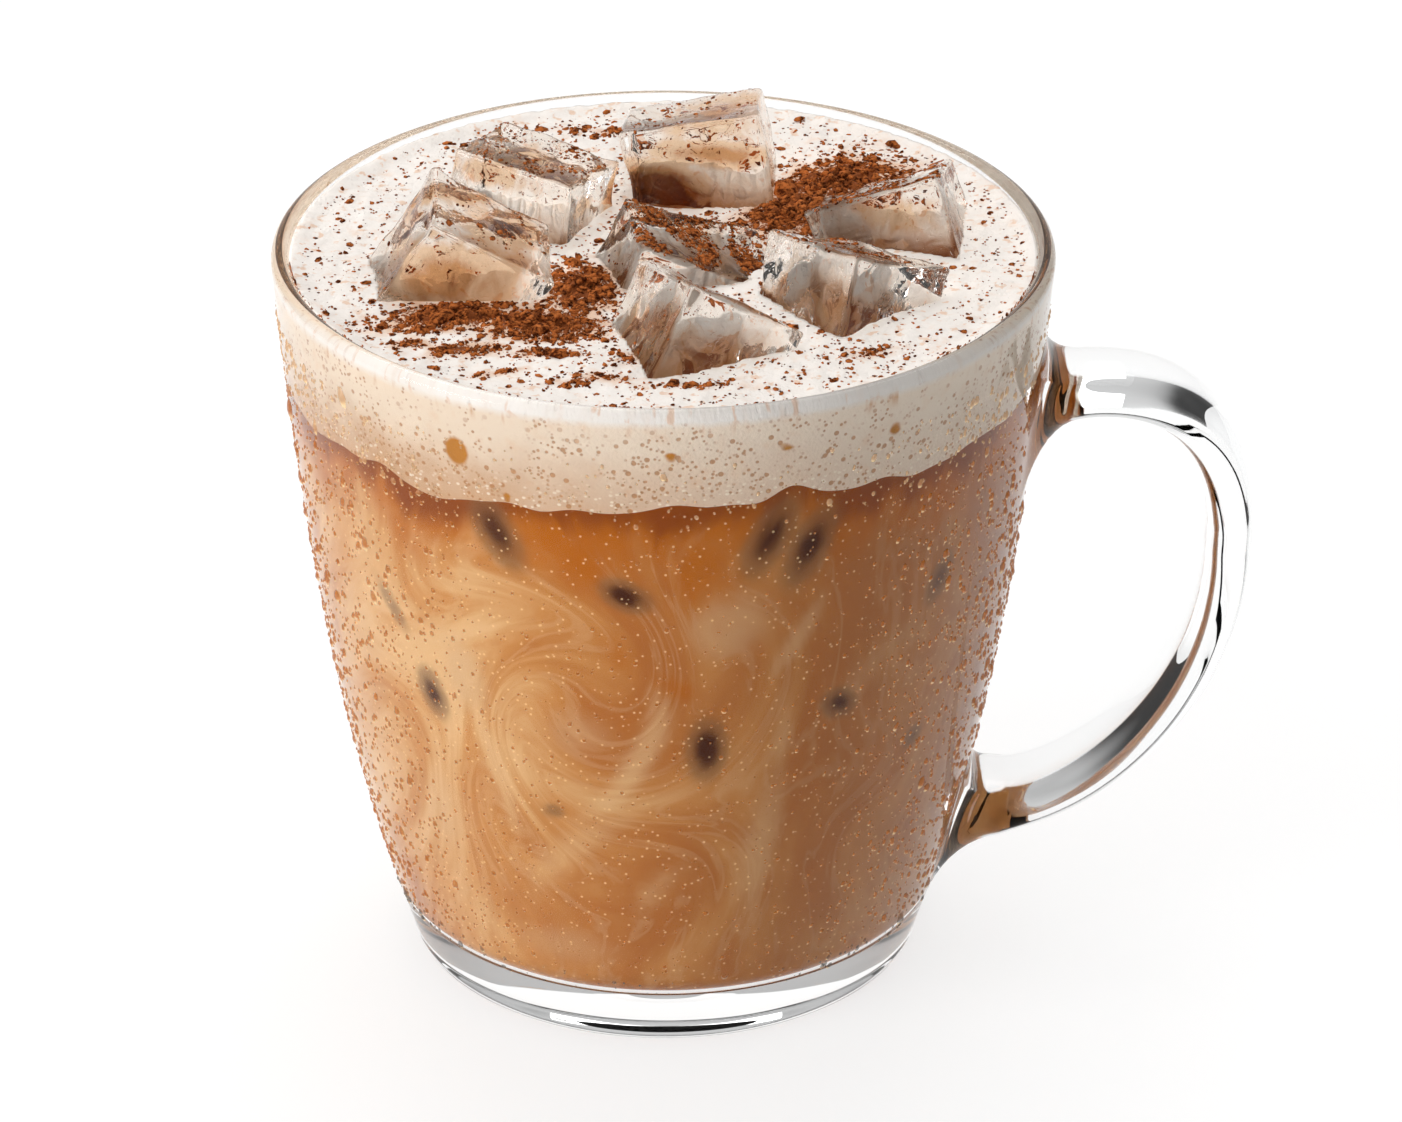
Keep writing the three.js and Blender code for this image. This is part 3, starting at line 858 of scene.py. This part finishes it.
def cocoa_grains(seed, count, spread, size, planes_of_cubes):
    """Places, frames and sizes of cocoa grains on the foam: drawn evenly over the disc
    and kept where a draw falls below the piles' density plus an even sprinkling."""
    draw = np.random.default_rng(seed)
    tries = count * 40
    radius = (inner_radius(FOAM_TOP) - GRAINS_FROM_GLASS) * np.sqrt(draw.uniform(0, 1, tries))
    angle = draw.uniform(0, 2 * np.pi, tries)
    x, y = radius * np.cos(angle), radius * np.sin(angle)
    flat = np.stack([x, y], -1)
    lumps = 0.35 + 0.65 * ripples(flat, 3.4 * MM, seed + 1)
    lumps = lumps + 0.65 * ripples(flat, 1.5 * MM, seed + 2)
    wanted = (cocoa_density(x, y) ** 1.3 + spread) * np.clip(lumps, 0, 2)
    kept = draw.uniform(0, 1.5, tries) < wanted
    x, y = x[kept][:count], y[kept][:count]
    points = np.stack([x, y, foam_top(x, y)], -1)
    points = points[clear_of_ice(points, planes_of_cubes, 0.1 * MM)]
    number = len(points)
    long = size * np.exp(draw.normal(0, 0.5, number))
    wide, thick = draw.uniform(0.45, 0.9, number), draw.uniform(0.3, 0.6, number)
    return points, random_axes(draw, number, 0.35), np.stack([long, long * wide, long * thick], -1)


def grains_on_ice(seed, cubes, shares):
    """Places, frames and sizes of the cocoa grains on the cubes' upper faces."""
    draw = np.random.default_rng(seed)
    places, ups, longs = [], [], []
    for (points, faces), share in zip(cubes, shares):
        corners = points[faces]
        normal = np.cross(corners[:, 2] - corners[:, 0], corners[:, 3] - corners[:, 1])
        area = np.linalg.norm(normal, axis=1)
        normal /= np.maximum(area, 1e-12)[:, None]
        middle = corners.mean(axis=1)
        lumps = np.clip(0.6 + 0.6 * ripples(middle, 5 * MM, seed + 3), 0, 2)
        weight = area * smoothstep(normal[:, 2], 0.35, 0.9) * (middle[:, 2] > FOAM_TOP) * lumps
        chosen = draw.choice(len(middle), share, p=weight / weight.sum())
        jitter = draw.normal(0, 0.15 * MM, (share, 3))
        jitter -= normal[chosen] * np.sum(jitter * normal[chosen], axis=1)[:, None]
        places.append(middle[chosen] + jitter + normal[chosen] * 0.03 * MM)
        ups.append(normal[chosen])
        longs.append(ICE_GRAIN * np.exp(draw.normal(0, 0.55, share)))
    places, ups, longs = np.concatenate(places), np.concatenate(ups), np.concatenate(longs)
    axes = frames_about(ups, draw.uniform(0, 2 * np.pi, len(ups)))
    return places, axes, np.stack([longs, longs * 0.7, longs * 0.4], -1)


def rim_smears(seed, count):
    """Places, frames and sizes of the cocoa left on the glass between foam and lip:
    flat grains against the inner wall, taller than wide, in loose groups."""
    draw = np.random.default_rng(seed)
    groups = draw.uniform(-1.4, 1.4, 18)
    angle = draw.choice(groups, count) + draw.normal(0, 0.05, count)
    z = FOAM_TOP + EDGE_CLIMB + draw.uniform(0, 0.7 * MM, count)
    places = from_front(inner_radius(z) - 0.02 * MM, angle, z)
    inward = -places * np.array([1, 1, 0])
    axes = frames_about(inward, draw.normal(0, 0.3, count))
    long = RIM_GRAIN * np.exp(draw.normal(0, 0.5, count))
    return places, axes, np.stack([long, long * 1.3, long * 0.3], -1)


def drop_shape(sides=6):
    """A water drop of unit radius and unit height: a shallow cap whose height falls as
    the square of the distance, with its rim and its closed back a little below."""
    reach = np.array([1.0, 0.84, 0.48])[:, None]
    around = 2 * np.pi * np.arange(sides) / sides
    height = 1 - 1.35 * reach**2 + 0 * around
    grid = np.stack([reach * np.cos(around), reach * np.sin(around), height], -1)
    points = np.concatenate([grid.reshape(-1, 3), [[0, 0, 1], [0, 0, -0.4]]])
    quads = grid_faces(len(reach), sides)
    top_ring = (len(reach) - 1) * sides + np.arange(sides)
    triangles = [quads[:, [0, 1, 2]], quads[:, [0, 2, 3]], cap_faces(top_ring, len(points) - 2)]
    triangles.append(cap_faces(np.arange(sides), len(points) - 1, below=True))
    return points, np.concatenate(triangles)


def wall_drops(seed, count, size, low, high):
    """Places, frames and sizes of the drops on the mug's outer side, clear of the
    handle's roots: flat, taller than wide, leaning a little, and smaller and sparser at
    the front."""
    draw = np.random.default_rng(seed)
    tries = 3 * count
    z = draw.uniform(low, high, tries)
    angle = draw.uniform(-np.pi, np.pi, tries)
    wanted = 0.45 + 0.55 * smoothstep(np.abs(angle), 0.3, 1.0)
    kept = draw.uniform(0, 1, tries) < wanted
    z, angle = z[kept][:count], angle[kept][:count]
    away = np.abs(wrapped(angle - np.pi / 2)) * outer_radius(z)
    at_upper = (np.abs(z - HANDLE_UPPER[0, 1]) < ROOT_CLEAR_HEIGHT) & (away < UPPER_CLEAR_WIDTH)
    at_lower = (np.abs(z - HANDLE_LOWER[3, 1]) < ROOT_CLEAR_HEIGHT) & (away < LOWER_CLEAR_WIDTH)
    free = ~(at_upper | at_lower)
    z, angle = z[free], angle[free]
    number = len(z)
    radius = outer_radius(z)
    slope = (outer_radius(z + MM) - radius) / MM
    normal = unit(np.stack([np.sin(angle), -np.cos(angle), -slope], -1))
    side = np.stack([np.cos(angle), np.sin(angle), 0 * angle], -1)
    upward = np.cross(normal, side)
    lean = draw.normal(0, 0.25, number)[:, None]
    axes = np.stack([side * np.cos(lean) + upward * np.sin(lean),
                     upward * np.cos(lean) - side * np.sin(lean), normal], axis=1)
    growth = 0.7 + 0.5 * smoothstep(np.abs(angle), 0.3, 1.1)
    width = size * growth * np.exp(draw.normal(0, 0.3, number))
    tall = width * draw.uniform(1.0, 1.4 + 1.2 * (growth - 0.7), number)
    sizes = np.stack([width, tall, width * draw.uniform(0.38, 0.55, number)], -1)
    return from_front(radius, angle, z), axes, sizes


# Shader sockets and materials


class Value:
    """One output socket of a shader node. Arithmetic on it adds Math nodes."""

    def __init__(self, finish, output):
        self.finish = finish
        self.output = output

    def calculate(self, operation, first, second=0.0):
        return self.finish.node("ShaderNodeMath", {"operation": operation}, {0: first, 1: second})

    def __add__(self, other):
        return self.calculate("ADD", self, other)

    def __radd__(self, other):
        return self.calculate("ADD", other, self)

    def __sub__(self, other):
        return self.calculate("SUBTRACT", self, other)

    def __rsub__(self, other):
        return self.calculate("SUBTRACT", other, self)

    def __mul__(self, other):
        return self.calculate("MULTIPLY", self, other)

    def __rmul__(self, other):
        return self.calculate("MULTIPLY", other, self)

    def __abs__(self):
        return self.calculate("ABSOLUTE", self)

    def fraction(self):
        return self.calculate("FRACT", self)

    def larger(self, other):
        return self.calculate("MAXIMUM", self, other)


class Finish:
    """The nodes of a material or a world, written as expressions."""

    def __init__(self, owner):
        self.owner = owner
        owner.use_nodes = True
        self.tree = owner.node_tree
        self.tree.nodes.clear()

    def node(self, kind, settings=(), inputs=(), output=0):
        """Adds a node, sets its settings, then its sockets by name or number, and gives
        back one of its outputs."""
        made = self.tree.nodes.new(kind)
        for key, value in dict(settings).items():
            setattr(made, key, value)
        for key, value in dict(inputs).items():
            if isinstance(value, Value):
                self.tree.links.new(value.output, made.inputs[key])
            else:
                made.inputs[key].default_value = value
        return None if output is None else Value(self, made.outputs[output])

    def place(self, stretch=(1, 1, 1)):
        """Object coordinates in millimetres, stretched along each axis."""
        here = self.node("ShaderNodeTexCoord", output="Object")
        scale = [factor / MM for factor in stretch]
        return self.node("ShaderNodeVectorMath", {"operation": "MULTIPLY"}, {0: here, 1: scale})

    def stored(self, name, output="Fac"):
        """A value kept on the mesh's points."""
        return self.node("ShaderNodeAttribute", {"attribute_name": name}, output=output)

    def stretched(self, vector, factors):
        return self.node("ShaderNodeVectorMath", {"operation": "MULTIPLY"}, {0: vector, 1: factors})

    def noise(self, vector, size, detail=3.0, roughness=0.5, distortion=0.0):
        """Cloudy values about 0.5, with features of that size in millimetres."""
        inputs = {"Vector": vector, "Scale": 1 / size, "Detail": detail}
        inputs.update({"Roughness": roughness, "Distortion": distortion})
        return self.node("ShaderNodeTexNoise", {}, inputs)

    def cells(self, vector, size):
        """Distance to the nearest of scattered points, in steps of that size."""
        return self.node("ShaderNodeTexVoronoi", {}, {"Vector": vector, "Scale": 1 / size}, "Distance")

    def part(self, vector, axis):
        """One of a vector's three numbers, by the name of its axis."""
        return self.node("ShaderNodeSeparateXYZ", {}, {0: vector}, output=axis)

    def ease(self, value, low, high):
        """0 at low, 1 at high, eased between."""
        settings = {"interpolation_type": "SMOOTHSTEP"}
        inputs = {"Value": value, "From Min": min(low, high), "From Max": max(low, high)}
        inputs.update({"To Min": 0.0 if low < high else 1.0, "To Max": 1.0 if low < high else 0.0})
        return self.node("ShaderNodeMapRange", settings, inputs)

    def blend(self, factor, first, second):
        """The first colour where the factor is 0 and the second where it is 1."""
        inputs = {0: factor, 6: first, 7: second}
        return self.node("ShaderNodeMix", {"data_type": "RGBA"}, inputs, output=2)

    def bump(self, height, depth, strength=1.0):
        inputs = {"Height": height, "Distance": depth, "Strength": strength}
        return self.node("ShaderNodeBump", {}, inputs)

    def principled(self, inputs):
        return self.node("ShaderNodeBsdfPrincipled", {}, inputs)

    def mixed(self, factor, first, second):
        """The first shader where the factor is 0 and the second where it is 1."""
        return self.node("ShaderNodeMixShader", {}, {0: factor, 1: first, 2: second})

    def done(self, shader, kind="ShaderNodeOutputMaterial"):
        self.node(kind, {}, {"Surface": shader}, output=None)
        return self.owner

    def lets_shadows_through(self, shader, tint):
        """The shader for all but shadow rays, which pass straight through, tinted."""
        shadow = self.node("ShaderNodeLightPath", output="Is Shadow Ray")
        clear = self.node("ShaderNodeBsdfTransparent", {}, {"Color": tint})
        return self.mixed(shadow, shader, clear)


def colour(red, green, blue):
    """A colour given as 0 to 255 on screen, as linear values."""
    parts = [part / 255 for part in (red, green, blue)]
    linear = [p / 12.92 if p <= 0.04045 else ((p + 0.055) / 1.055) ** 2.4 for p in parts]
    return (*linear, 1.0)


def mug_glass():
    finish = Finish(bpy.data.materials.new("mug_glass"))
    place = finish.place()
    waves = finish.noise(place, 9, detail=0)
    glass = finish.principled({
        "Base Color": (0.985, 0.99, 0.99, 1), "Roughness": 0.0, "IOR": 1.5,
        "Specular Tint": (0.11, 0.11, 0.11, 1), "Transmission Weight": 1.0,
        "Normal": finish.bump(waves, 0.00006, 0.5),
    })
    return finish.done(finish.lets_shadows_through(glass, (0.97, 0.97, 0.97, 1)))


def clear_ice():
    finish = Finish(bpy.data.materials.new("clear_ice"))
    place = finish.place()
    stain = finish.stored("stain")
    waves = finish.noise(place, 3.5, detail=2, distortion=0.6)
    cracks = finish.ease(finish.noise(place, 1.3, detail=2, distortion=1.5), 0.62, 0.75)
    wisps = finish.noise(finish.place((1, 1, 0.6)), 5, detail=4, roughness=0.55, distortion=1.6)
    wet = stain + 0.9 * (wisps - 0.5)
    tea = finish.blend(finish.ease(wet, 0.14, 0.5), colour(253, 250, 246), colour(224, 178, 134))
    soaked = finish.blend(finish.ease(wet, 0.5, 1.0), tea, colour(160, 92, 44))
    dark = finish.blend(finish.ease(wet, 0.95, 1.35), soaked, colour(80, 28, 6))
    ice = finish.principled({
        "Base Color": dark, "Roughness": 0.01, "IOR": 1.31, "Transmission Weight": 1.0,
        "Normal": finish.bump(waves + 0.12 * cracks, 0.0005, 0.5),
    })
    return finish.done(finish.lets_shadows_through(ice, (0.9, 0.88, 0.86, 1)))


def water():
    """Water drops as thin clear beads, their colour painted: amber where the drink would show
    through them, grey over the clear base, and a pale lower end, painted light that a drop gathers."""
    finish = Finish(bpy.data.materials.new("water_drops"))
    place = finish.place()
    height = finish.part(place, "Z")
    upward = finish.stored("upward")
    # Painted see-through colour: amber over the coffee, grey over the base and tan over the foam stand in
    # for what the drops would show
    amber = finish.blend(finish.noise(place, 2.5), colour(156, 80, 20), colour(194, 116, 44))
    over_coffee = finish.blend(finish.ease(height, 10, 13), colour(96, 90, 84), amber)
    body = finish.blend(finish.ease(height, 81, 85), over_coffee, colour(204, 160, 116))
    # Painted light: the lower end of each drop is painted pale, as the light it would gather
    painted_view_and_lit_end = finish.blend(finish.ease(upward, -0.1, -0.6), body, colour(255, 220, 166))
    bead = finish.principled({
        "Base Color": painted_view_and_lit_end, "Roughness": 0.05, "IOR": 1.4, "Alpha": finish.stored("cover") * 0.7,
    })
    return finish.done(finish.lets_shadows_through(bead, (0.99, 0.99, 0.99, 1)))


def milky_coffee():
    """Marbled coffee as it shows through the glass it touches: the glass turns back all
    light that reaches the coffee at a low angle, so the thick base looks clear."""
    finish = Finish(bpy.data.materials.new("milky_coffee"))
    flow = finish.stored("flow", "Vector")
    below = finish.stored("below")
    smudge = finish.stored("smudge")
    # right: the side away from the key light, for painted shade
    right = finish.stored("right")
    clouds = finish.noise(finish.stretched(flow, (1, 1, 0.6)), 20, detail=2, distortion=0.7)
    lengthwise = finish.stretched(flow, (1, 1, 0.2))
    strands = finish.noise(lengthwise, 5.5, detail=4, roughness=0.5, distortion=0.5)
    fibres = finish.noise(finish.stretched(flow, (1, 1, 0.22)), 1.7, detail=4, roughness=0.6)
    # Painted shade: the tone falls towards the right, away from the key light
    tone = 0.62 * clouds + 0.3 * strands + 0.14 * fibres - 0.16 * right + 0.01
    caramel = finish.blend(finish.ease(tone, 0.34, 0.56), colour(184, 108, 46), colour(208, 142, 78))
    creamy = finish.blend(finish.ease(tone, 0.5, 0.68), caramel, colour(232, 184, 130))
    threads = finish.ease(abs((strands * 3.2).fraction() - 0.5), 0.16, 0.0)
    veined = finish.blend(threads * 0.22, creamy, colour(236, 192, 142))
    milk = finish.ease(finish.stored("milk") + 0.5 * (clouds - 0.5), 0.15, 0.85)
    cloudy = finish.blend(milk * 0.7, veined, colour(222, 178, 132))
    strand = finish.ease(finish.stored("strand") + 0.4 * (fibres - 0.5), 0.08, 0.85)
    milky = finish.blend(strand * 0.75, cloudy, colour(238, 194, 142))
    # Painted shade: darker and browner towards the right, away from the key light
    right_painted_shade = finish.blend(right * 0.45, milky, colour(166, 104, 54))
    drips = finish.noise(finish.stretched(flow, (1, 1, 0.45)), 6, detail=3, distortion=0.6)
    near_foam = finish.ease(below + 16 * (drips - 0.5), 12.0, 2.0)
    patchy = finish.stored("amber") + 0.9 * (drips - 0.5) + 0.7 * (strands - 0.5)
    orange = finish.ease(patchy, 0.2, 1.0)
    amber = finish.blend((near_foam * 0.88).larger(orange * 0.85), right_painted_shade, colour(182, 96, 4))
    rich = finish.ease(below + 14 * (strands - 0.5), 5.0, 0.5)
    deep = finish.blend(rich * 0.75, amber, colour(122, 50, 5))
    at_floor = finish.blend(finish.stored("low") * 0.6, deep, colour(120, 56, 12))
    uneven = smudge * (0.55 + 0.9 * drips) + 0.25 * (fibres - 0.5) * finish.ease(smudge, 0.05, 0.3)
    ringed = finish.blend(finish.ease(uneven, 0.03, 0.32) * 0.6, at_floor, colour(132, 92, 58))
    marked = finish.blend(finish.ease(uneven, 0.24, 0.9), ringed, colour(72, 32, 12))
    # Painted highlights: small pale dots stand in for the glints of drops on the glass
    painted_drop_glints = finish.ease(finish.cells(finish.place(), 1.15), 0.19, 0.1)
    with_drop_glints = finish.blend(painted_drop_glints * 0.6, marked, colour(252, 210, 150))
    coffee = finish.principled({"Base Color": with_drop_glints, "Roughness": 0.5, "Specular IOR Level": 0.04})
    mirror = finish.node("ShaderNodeBsdfGlossy", {}, {"Color": (1, 1, 1, 1), "Roughness": 0.0})
    turned_back = finish.node("ShaderNodeFresnel", {}, {"IOR": COFFEE_IN_GLASS})
    return finish.done(finish.mixed(turned_back, coffee, mirror))


def milk_foam():
    finish = Finish(bpy.data.materials.new("milk_foam"))
    place = finish.place()
    above = finish.stored("above")
    pocket = finish.stored("pocket")
    cocoa = finish.stored("cocoa")
    depth = finish.stored("depth")
    # right: the side away from the key light, where the foam's side is painted lighter
    right = finish.stored("right")
    side = finish.stored("side")
    height = finish.part(place, "Z")
    clouds = finish.noise(place, 6, detail=3)
    patchy = finish.ease(finish.noise(place, 4), 0.4, 0.6)
    fine_pores = finish.ease(finish.cells(place, 0.75), 0.36, 0.2)
    wide_pores = finish.ease(finish.cells(place, 1.7), 0.24, 0.16)
    pores = (fine_pores * patchy).larger(wide_pores * finish.ease(above, 14, 8))
    near_line = finish.ease(above, 5.0, 1.0)
    # Pale bubbles near the foam line, partly painted highlights on them
    beads = finish.ease(finish.cells(finish.place((1, 1, 1.3)), 1.0), 0.3, 0.18) * near_line
    top = finish.blend(clouds, colour(246, 240, 234), colour(240, 232, 224))
    paler = finish.ease(above + 9 * clouds, 3.0, 15.0)
    wall = finish.blend(paler, colour(206, 160, 120), colour(238, 216, 192))
    # Painted light: the foam's side is made paler towards the right, away from the key light, against the
    # shade there
    wall = finish.blend(right * 0.7, wall, colour(246, 230, 212))
    cream = finish.blend(side, top, wall)
    cream = finish.blend(pores * side * 0.75, cream, colour(182, 122, 70))
    # Pale bubbles, partly painted highlights
    cream = finish.blend(beads * side * 0.7, cream, colour(252, 238, 218))
    smears = finish.ease(finish.noise(finish.place((1, 1, 0.08)), 1.8, detail=3), 0.56, 0.68)
    rim_band = finish.ease(height, 94.5, 96.5)
    cream = finish.blend(smears * rim_band * side * 0.7, cream, colour(206, 150, 96))
    cream = finish.blend(finish.ease(pocket, 0.3, 0.55), cream, colour(190, 124, 50))
    grain = finish.noise(place, 0.7, detail=4, roughness=0.7)
    dust = finish.ease(cocoa * 1.1 + (grain - 0.5) * 2.0, 0.48, 0.66)
    stain = finish.ease(cocoa + 0.8 * finish.noise(place, 2.6, detail=2), 0.42, 0.85)
    freckles = finish.ease(finish.noise(place, 1.5, detail=3), 0.58, 0.68) * (1 - side)
    stained = finish.blend((stain * 0.6).larger(freckles * 0.5), cream, colour(222, 164, 112))
    brown = finish.blend(finish.noise(place, 0.5, detail=2), colour(84, 36, 10), colour(168, 92, 44))
    dusted = finish.blend(dust, stained, brown)
    soaked = finish.blend(finish.ease(depth + 6 * clouds, 3.5, 10.0), dusted, colour(222, 182, 144))
    pool = finish.ease(finish.noise(place, 5, detail=2, distortion=1.2), 0.47, 0.57)
    deep = finish.blend(finish.ease(depth, 2.0, 6.0) * pool * 0.85, soaked, colour(134, 72, 32))
    relief = finish.noise(place, 0.45, detail=2) + 0.4 * dust - 0.6 * pores
    foam = finish.principled({
        "Base Color": deep, "Roughness": 0.75, "Specular IOR Level": 0.12,
        "Normal": finish.bump(relief, 0.0002, 0.5),
    })
    return finish.done(foam)


def cocoa_powder():
    finish = Finish(bpy.data.materials.new("cocoa_powder"))
    place = finish.place()
    tone = finish.noise(place, 0.8, detail=3, roughness=0.7)
    brown = finish.blend(finish.ease(tone, 0.38, 0.62), colour(72, 30, 10), colour(190, 108, 54))
    powder = finish.principled({
        "Base Color": brown, "Roughness": 0.9, "Specular IOR Level": 0.06,
        "Normal": finish.bump(finish.noise(place, 0.15, detail=1), 0.0001, 0.6),
    })
    return finish.done(powder)


def bright_floor():
    finish = Finish(bpy.data.materials.new("bright_floor"))
    soft = finish.principled({
        "Base Color": (0.34, 0.34, 0.34, 1), "Roughness": 0.9, "Specular IOR Level": 0.0,
        "Emission Color": (1, 1, 1, 1), "Emission Strength": 0.71,
    })
    finish.owner.cycles.emission_sampling = "FRONT"
    return finish.done(soft)


def studio_world():
    """Light from all round: bright overhead, white low down behind, grey low down in front,
    and dark at the left and right, which draws dark lines along the edges of glass and ice."""
    finish = Finish(bpy.data.worlds.new("studio"))
    direction = finish.node("ShaderNodeTexCoord", output="Generated")
    height = finish.part(direction, "Z")
    across = finish.part(direction, "X")
    flags = finish.ease(abs(across), 0.42, 0.7) * finish.ease(height, 0.6, 0.35)
    away = finish.part(direction, "Y")
    backdrop = finish.ease(away, 0.35, 0.75) * (1 - flags) * finish.ease(height, 0.5, 0.25)
    level = 0.34 + 0.3 * finish.ease(height, 0.25, 0.75) - 0.29 * flags + 0.4 * backdrop
    sky = finish.node("ShaderNodeBackground", {}, {"Color": (1, 1, 1, 1), "Strength": level})
    return finish.done(sky, "ShaderNodeOutputWorld")


# The pieces

glass = mug_glass()
ice = clear_ice()
cocoa = cocoa_powder()

mug_points, mug_faces = mug_mesh()
new_piece("mug_with_handle", mug_points, mug_faces, glass, ["mug"])

coffee_points, coffee_faces = coffee_mesh()
coffee_marks = {
    "flow": swirled(coffee_points),
    "below": (foam_line(around_front(coffee_points)) - coffee_points[:, 2]) / MM,
    "smudge": wall_marks(coffee_points, SUNKEN_ICE),
    "strand": wall_strands(coffee_points, MILK_STRANDS),
    "milk": wall_marks(coffee_points, MILK_CLOUDS),
    "amber": wall_marks(coffee_points, AMBER_CLOUDS),
    "low": smoothstep(-coffee_points[:, 2], -FLOOR_HEIGHT - 3.5 * MM, -FLOOR_HEIGHT - 0.5 * MM),
    # right: the side away from the key light, for the coffee's painted shade
    "right": shaded_side(coffee_points),
}
new_piece("iced_coffee", coffee_points, coffee_faces, milky_coffee(), ["coffee"], coffee_marks)

cube_corners = [ice_corners(node) for node in ICE_NODES]
cube_sides = [cube_planes(corners) for corners in cube_corners]
cubes = [ice_mesh(corners, 20 + number) for number, corners in enumerate(cube_corners)]
for node, (points, faces) in zip(ICE_NODES, cubes):
    new_piece(node + "_cube", points, [faces], ice, [node], {"stain": ice_stain(points)})

foam_points, foam_faces, pit_depth = foam_mesh(cube_sides)
near_top = foam_points[:, 2] > FOAM_TOP - 1 * MM
foam_marks = {
    "above": (foam_points[:, 2] - foam_line(around_front(foam_points))) / MM,
    "pocket": wall_marks(foam_points, FOAM_POCKETS),
    "cocoa": cocoa_density(foam_points[:, 0], foam_points[:, 1]) * near_top,
    "depth": pit_depth,
    # right: the side away from the key light, for painted light on the foam's side
    "right": shaded_side(foam_points),
    "side": smoothstep(-foam_points[:, 2], -FOAM_TOP + 0.4 * MM, -FOAM_TOP + 1.4 * MM) * (pit_depth == 0),
}
new_piece("foam_cap", foam_points, foam_faces, milk_foam(), ["milk_foam"], foam_marks)

grain_points, grain_faces = grain_shape()
for name, seed, count, spread, size in (
    ("cocoa_piles", 31, 9000, 0.0, 0.24 * MM),
    ("cocoa_clumps", 34, 650, 0.03, 0.48 * MM),
    ("cocoa_sprinkle", 32, 6800, 0.13, 0.18 * MM),
):
    places, axes, sizes = cocoa_grains(seed, count, spread, size, cube_sides)
    points, faces = copies(grain_points, grain_faces, places, axes, sizes)
    new_piece(name, points, [faces], cocoa)
ice_shares = {"ice_centre": 2400, "ice_back_left": 420, "ice_right": 320, "ice_far_right": 700}
shares = [ice_shares.get(node, 140) for node in ICE_NODES]
places, axes, sizes = (np.concatenate(parts) for parts in zip(grains_on_ice(33, cubes, shares),
                                                             rim_smears(35, 260)))
points, faces = copies(grain_points, grain_faces, places, axes, sizes)
new_piece("cocoa_on_ice", points, [faces], cocoa)

drop_points, drop_faces = drop_shape()
drop_cover = (drop_points[:, 2] > 0).astype(float)
drops = water()
for name, seed, count, size in (
    ("condensation_mist", 40, 4600, 0.15 * MM),
    ("condensation_fine", 41, 5500, 0.23 * MM),
    ("condensation_drops", 42, 2600, 0.33 * MM),
):
    places, axes, sizes = wall_drops(seed, count, size, DROPS_FROM, DROPS_TO)
    points, faces = copies(drop_points, drop_faces, places, axes, sizes)
    drop_marks = {"upward": np.tile(drop_points[:, 1], len(places)),
                  "cover": np.tile(drop_cover, len(places))}
    new_piece(name, points, [faces], drops, attributes=drop_marks)

# Stage, light and camera

stage_mesh = bpy.data.meshes.new("floor")
stage_mesh.from_pydata([(-6, -6, 0), (6, -6, 0), (6, 6, 0), (-6, 6, 0)], [], [(0, 1, 2, 3)])
stage_mesh.materials.append(bright_floor())
floor = bpy.data.objects.new("floor", stage_mesh)
bpy.context.scene.collection.objects.link(floor)


def soft_light(name, place, aim, size, power):
    """A square soft light at a place, facing a point."""
    lamp = bpy.data.lights.new(name, "AREA")
    lamp.size = size
    lamp.energy = power
    holder = bpy.data.objects.new(name, lamp)
    holder.location = place
    holder.rotation_euler = (Vector(aim) - Vector(place)).to_track_quat("-Z", "Y").to_euler()
    bpy.context.scene.collection.objects.link(holder)


soft_light("key_left", (-0.6, -0.32, 0.25), (0, 0, 0.04), 0.35, 2.6)
soft_light("top", (0.0, 0.3, 0.7), (0, 0, 0.08), 0.5, 2.3)
soft_light("front", (0.0, -0.95, 0.42), (0, 0, 0.04), 0.5, 0.35)

bpy.context.scene.world = studio_world()

# Camera: a long lens at the photo's angle, aimed a little right of and above the mug's
# middle, as the photo frames it
CAMERA_ELEVATION = math.radians(27.77)
CAMERA_DISTANCE = 0.8
CAMERA_TARGET = Vector((0, 0, 0.048))
FOCAL_PIXELS = 6105
PHOTO_WIDTH = 1402
AIM_RIGHT = 4.8 * MM
AIM_UP = 4.69 * MM

back = Vector((0, -math.cos(CAMERA_ELEVATION), math.sin(CAMERA_ELEVATION)))
above_view = Vector((0, math.sin(CAMERA_ELEVATION), math.cos(CAMERA_ELEVATION)))
camera_data = bpy.data.cameras.new("camera")
camera = bpy.data.objects.new("camera", camera_data)
bpy.context.scene.collection.objects.link(camera)
camera.location = CAMERA_TARGET + back * CAMERA_DISTANCE
aim = CAMERA_TARGET + Vector((AIM_RIGHT, 0, 0)) + above_view * AIM_UP
camera.rotation_euler = (aim - camera.location).to_track_quat("-Z", "Y").to_euler()
camera_data.sensor_width = 36
camera_data.lens = 36 * FOCAL_PIXELS / PHOTO_WIDTH
camera_data.clip_start = 0.01
camera_data.clip_end = 50
bpy.context.scene.camera = camera

scene = bpy.context.scene
scene.view_settings.view_transform = "Standard"
scene.cycles.use_denoising = True
scene.cycles.caustics_reflective = False
scene.cycles.caustics_refractive = True
scene.cycles.max_bounces = 8
scene.cycles.glossy_bounces = 3
scene.cycles.light_sampling_threshold = 0.05
scene.cycles.use_light_tree = False
scene.cycles.diffuse_bounces = 2
scene.cycles.transmission_bounces = 7
scene.cycles.transparent_max_bounces = 8
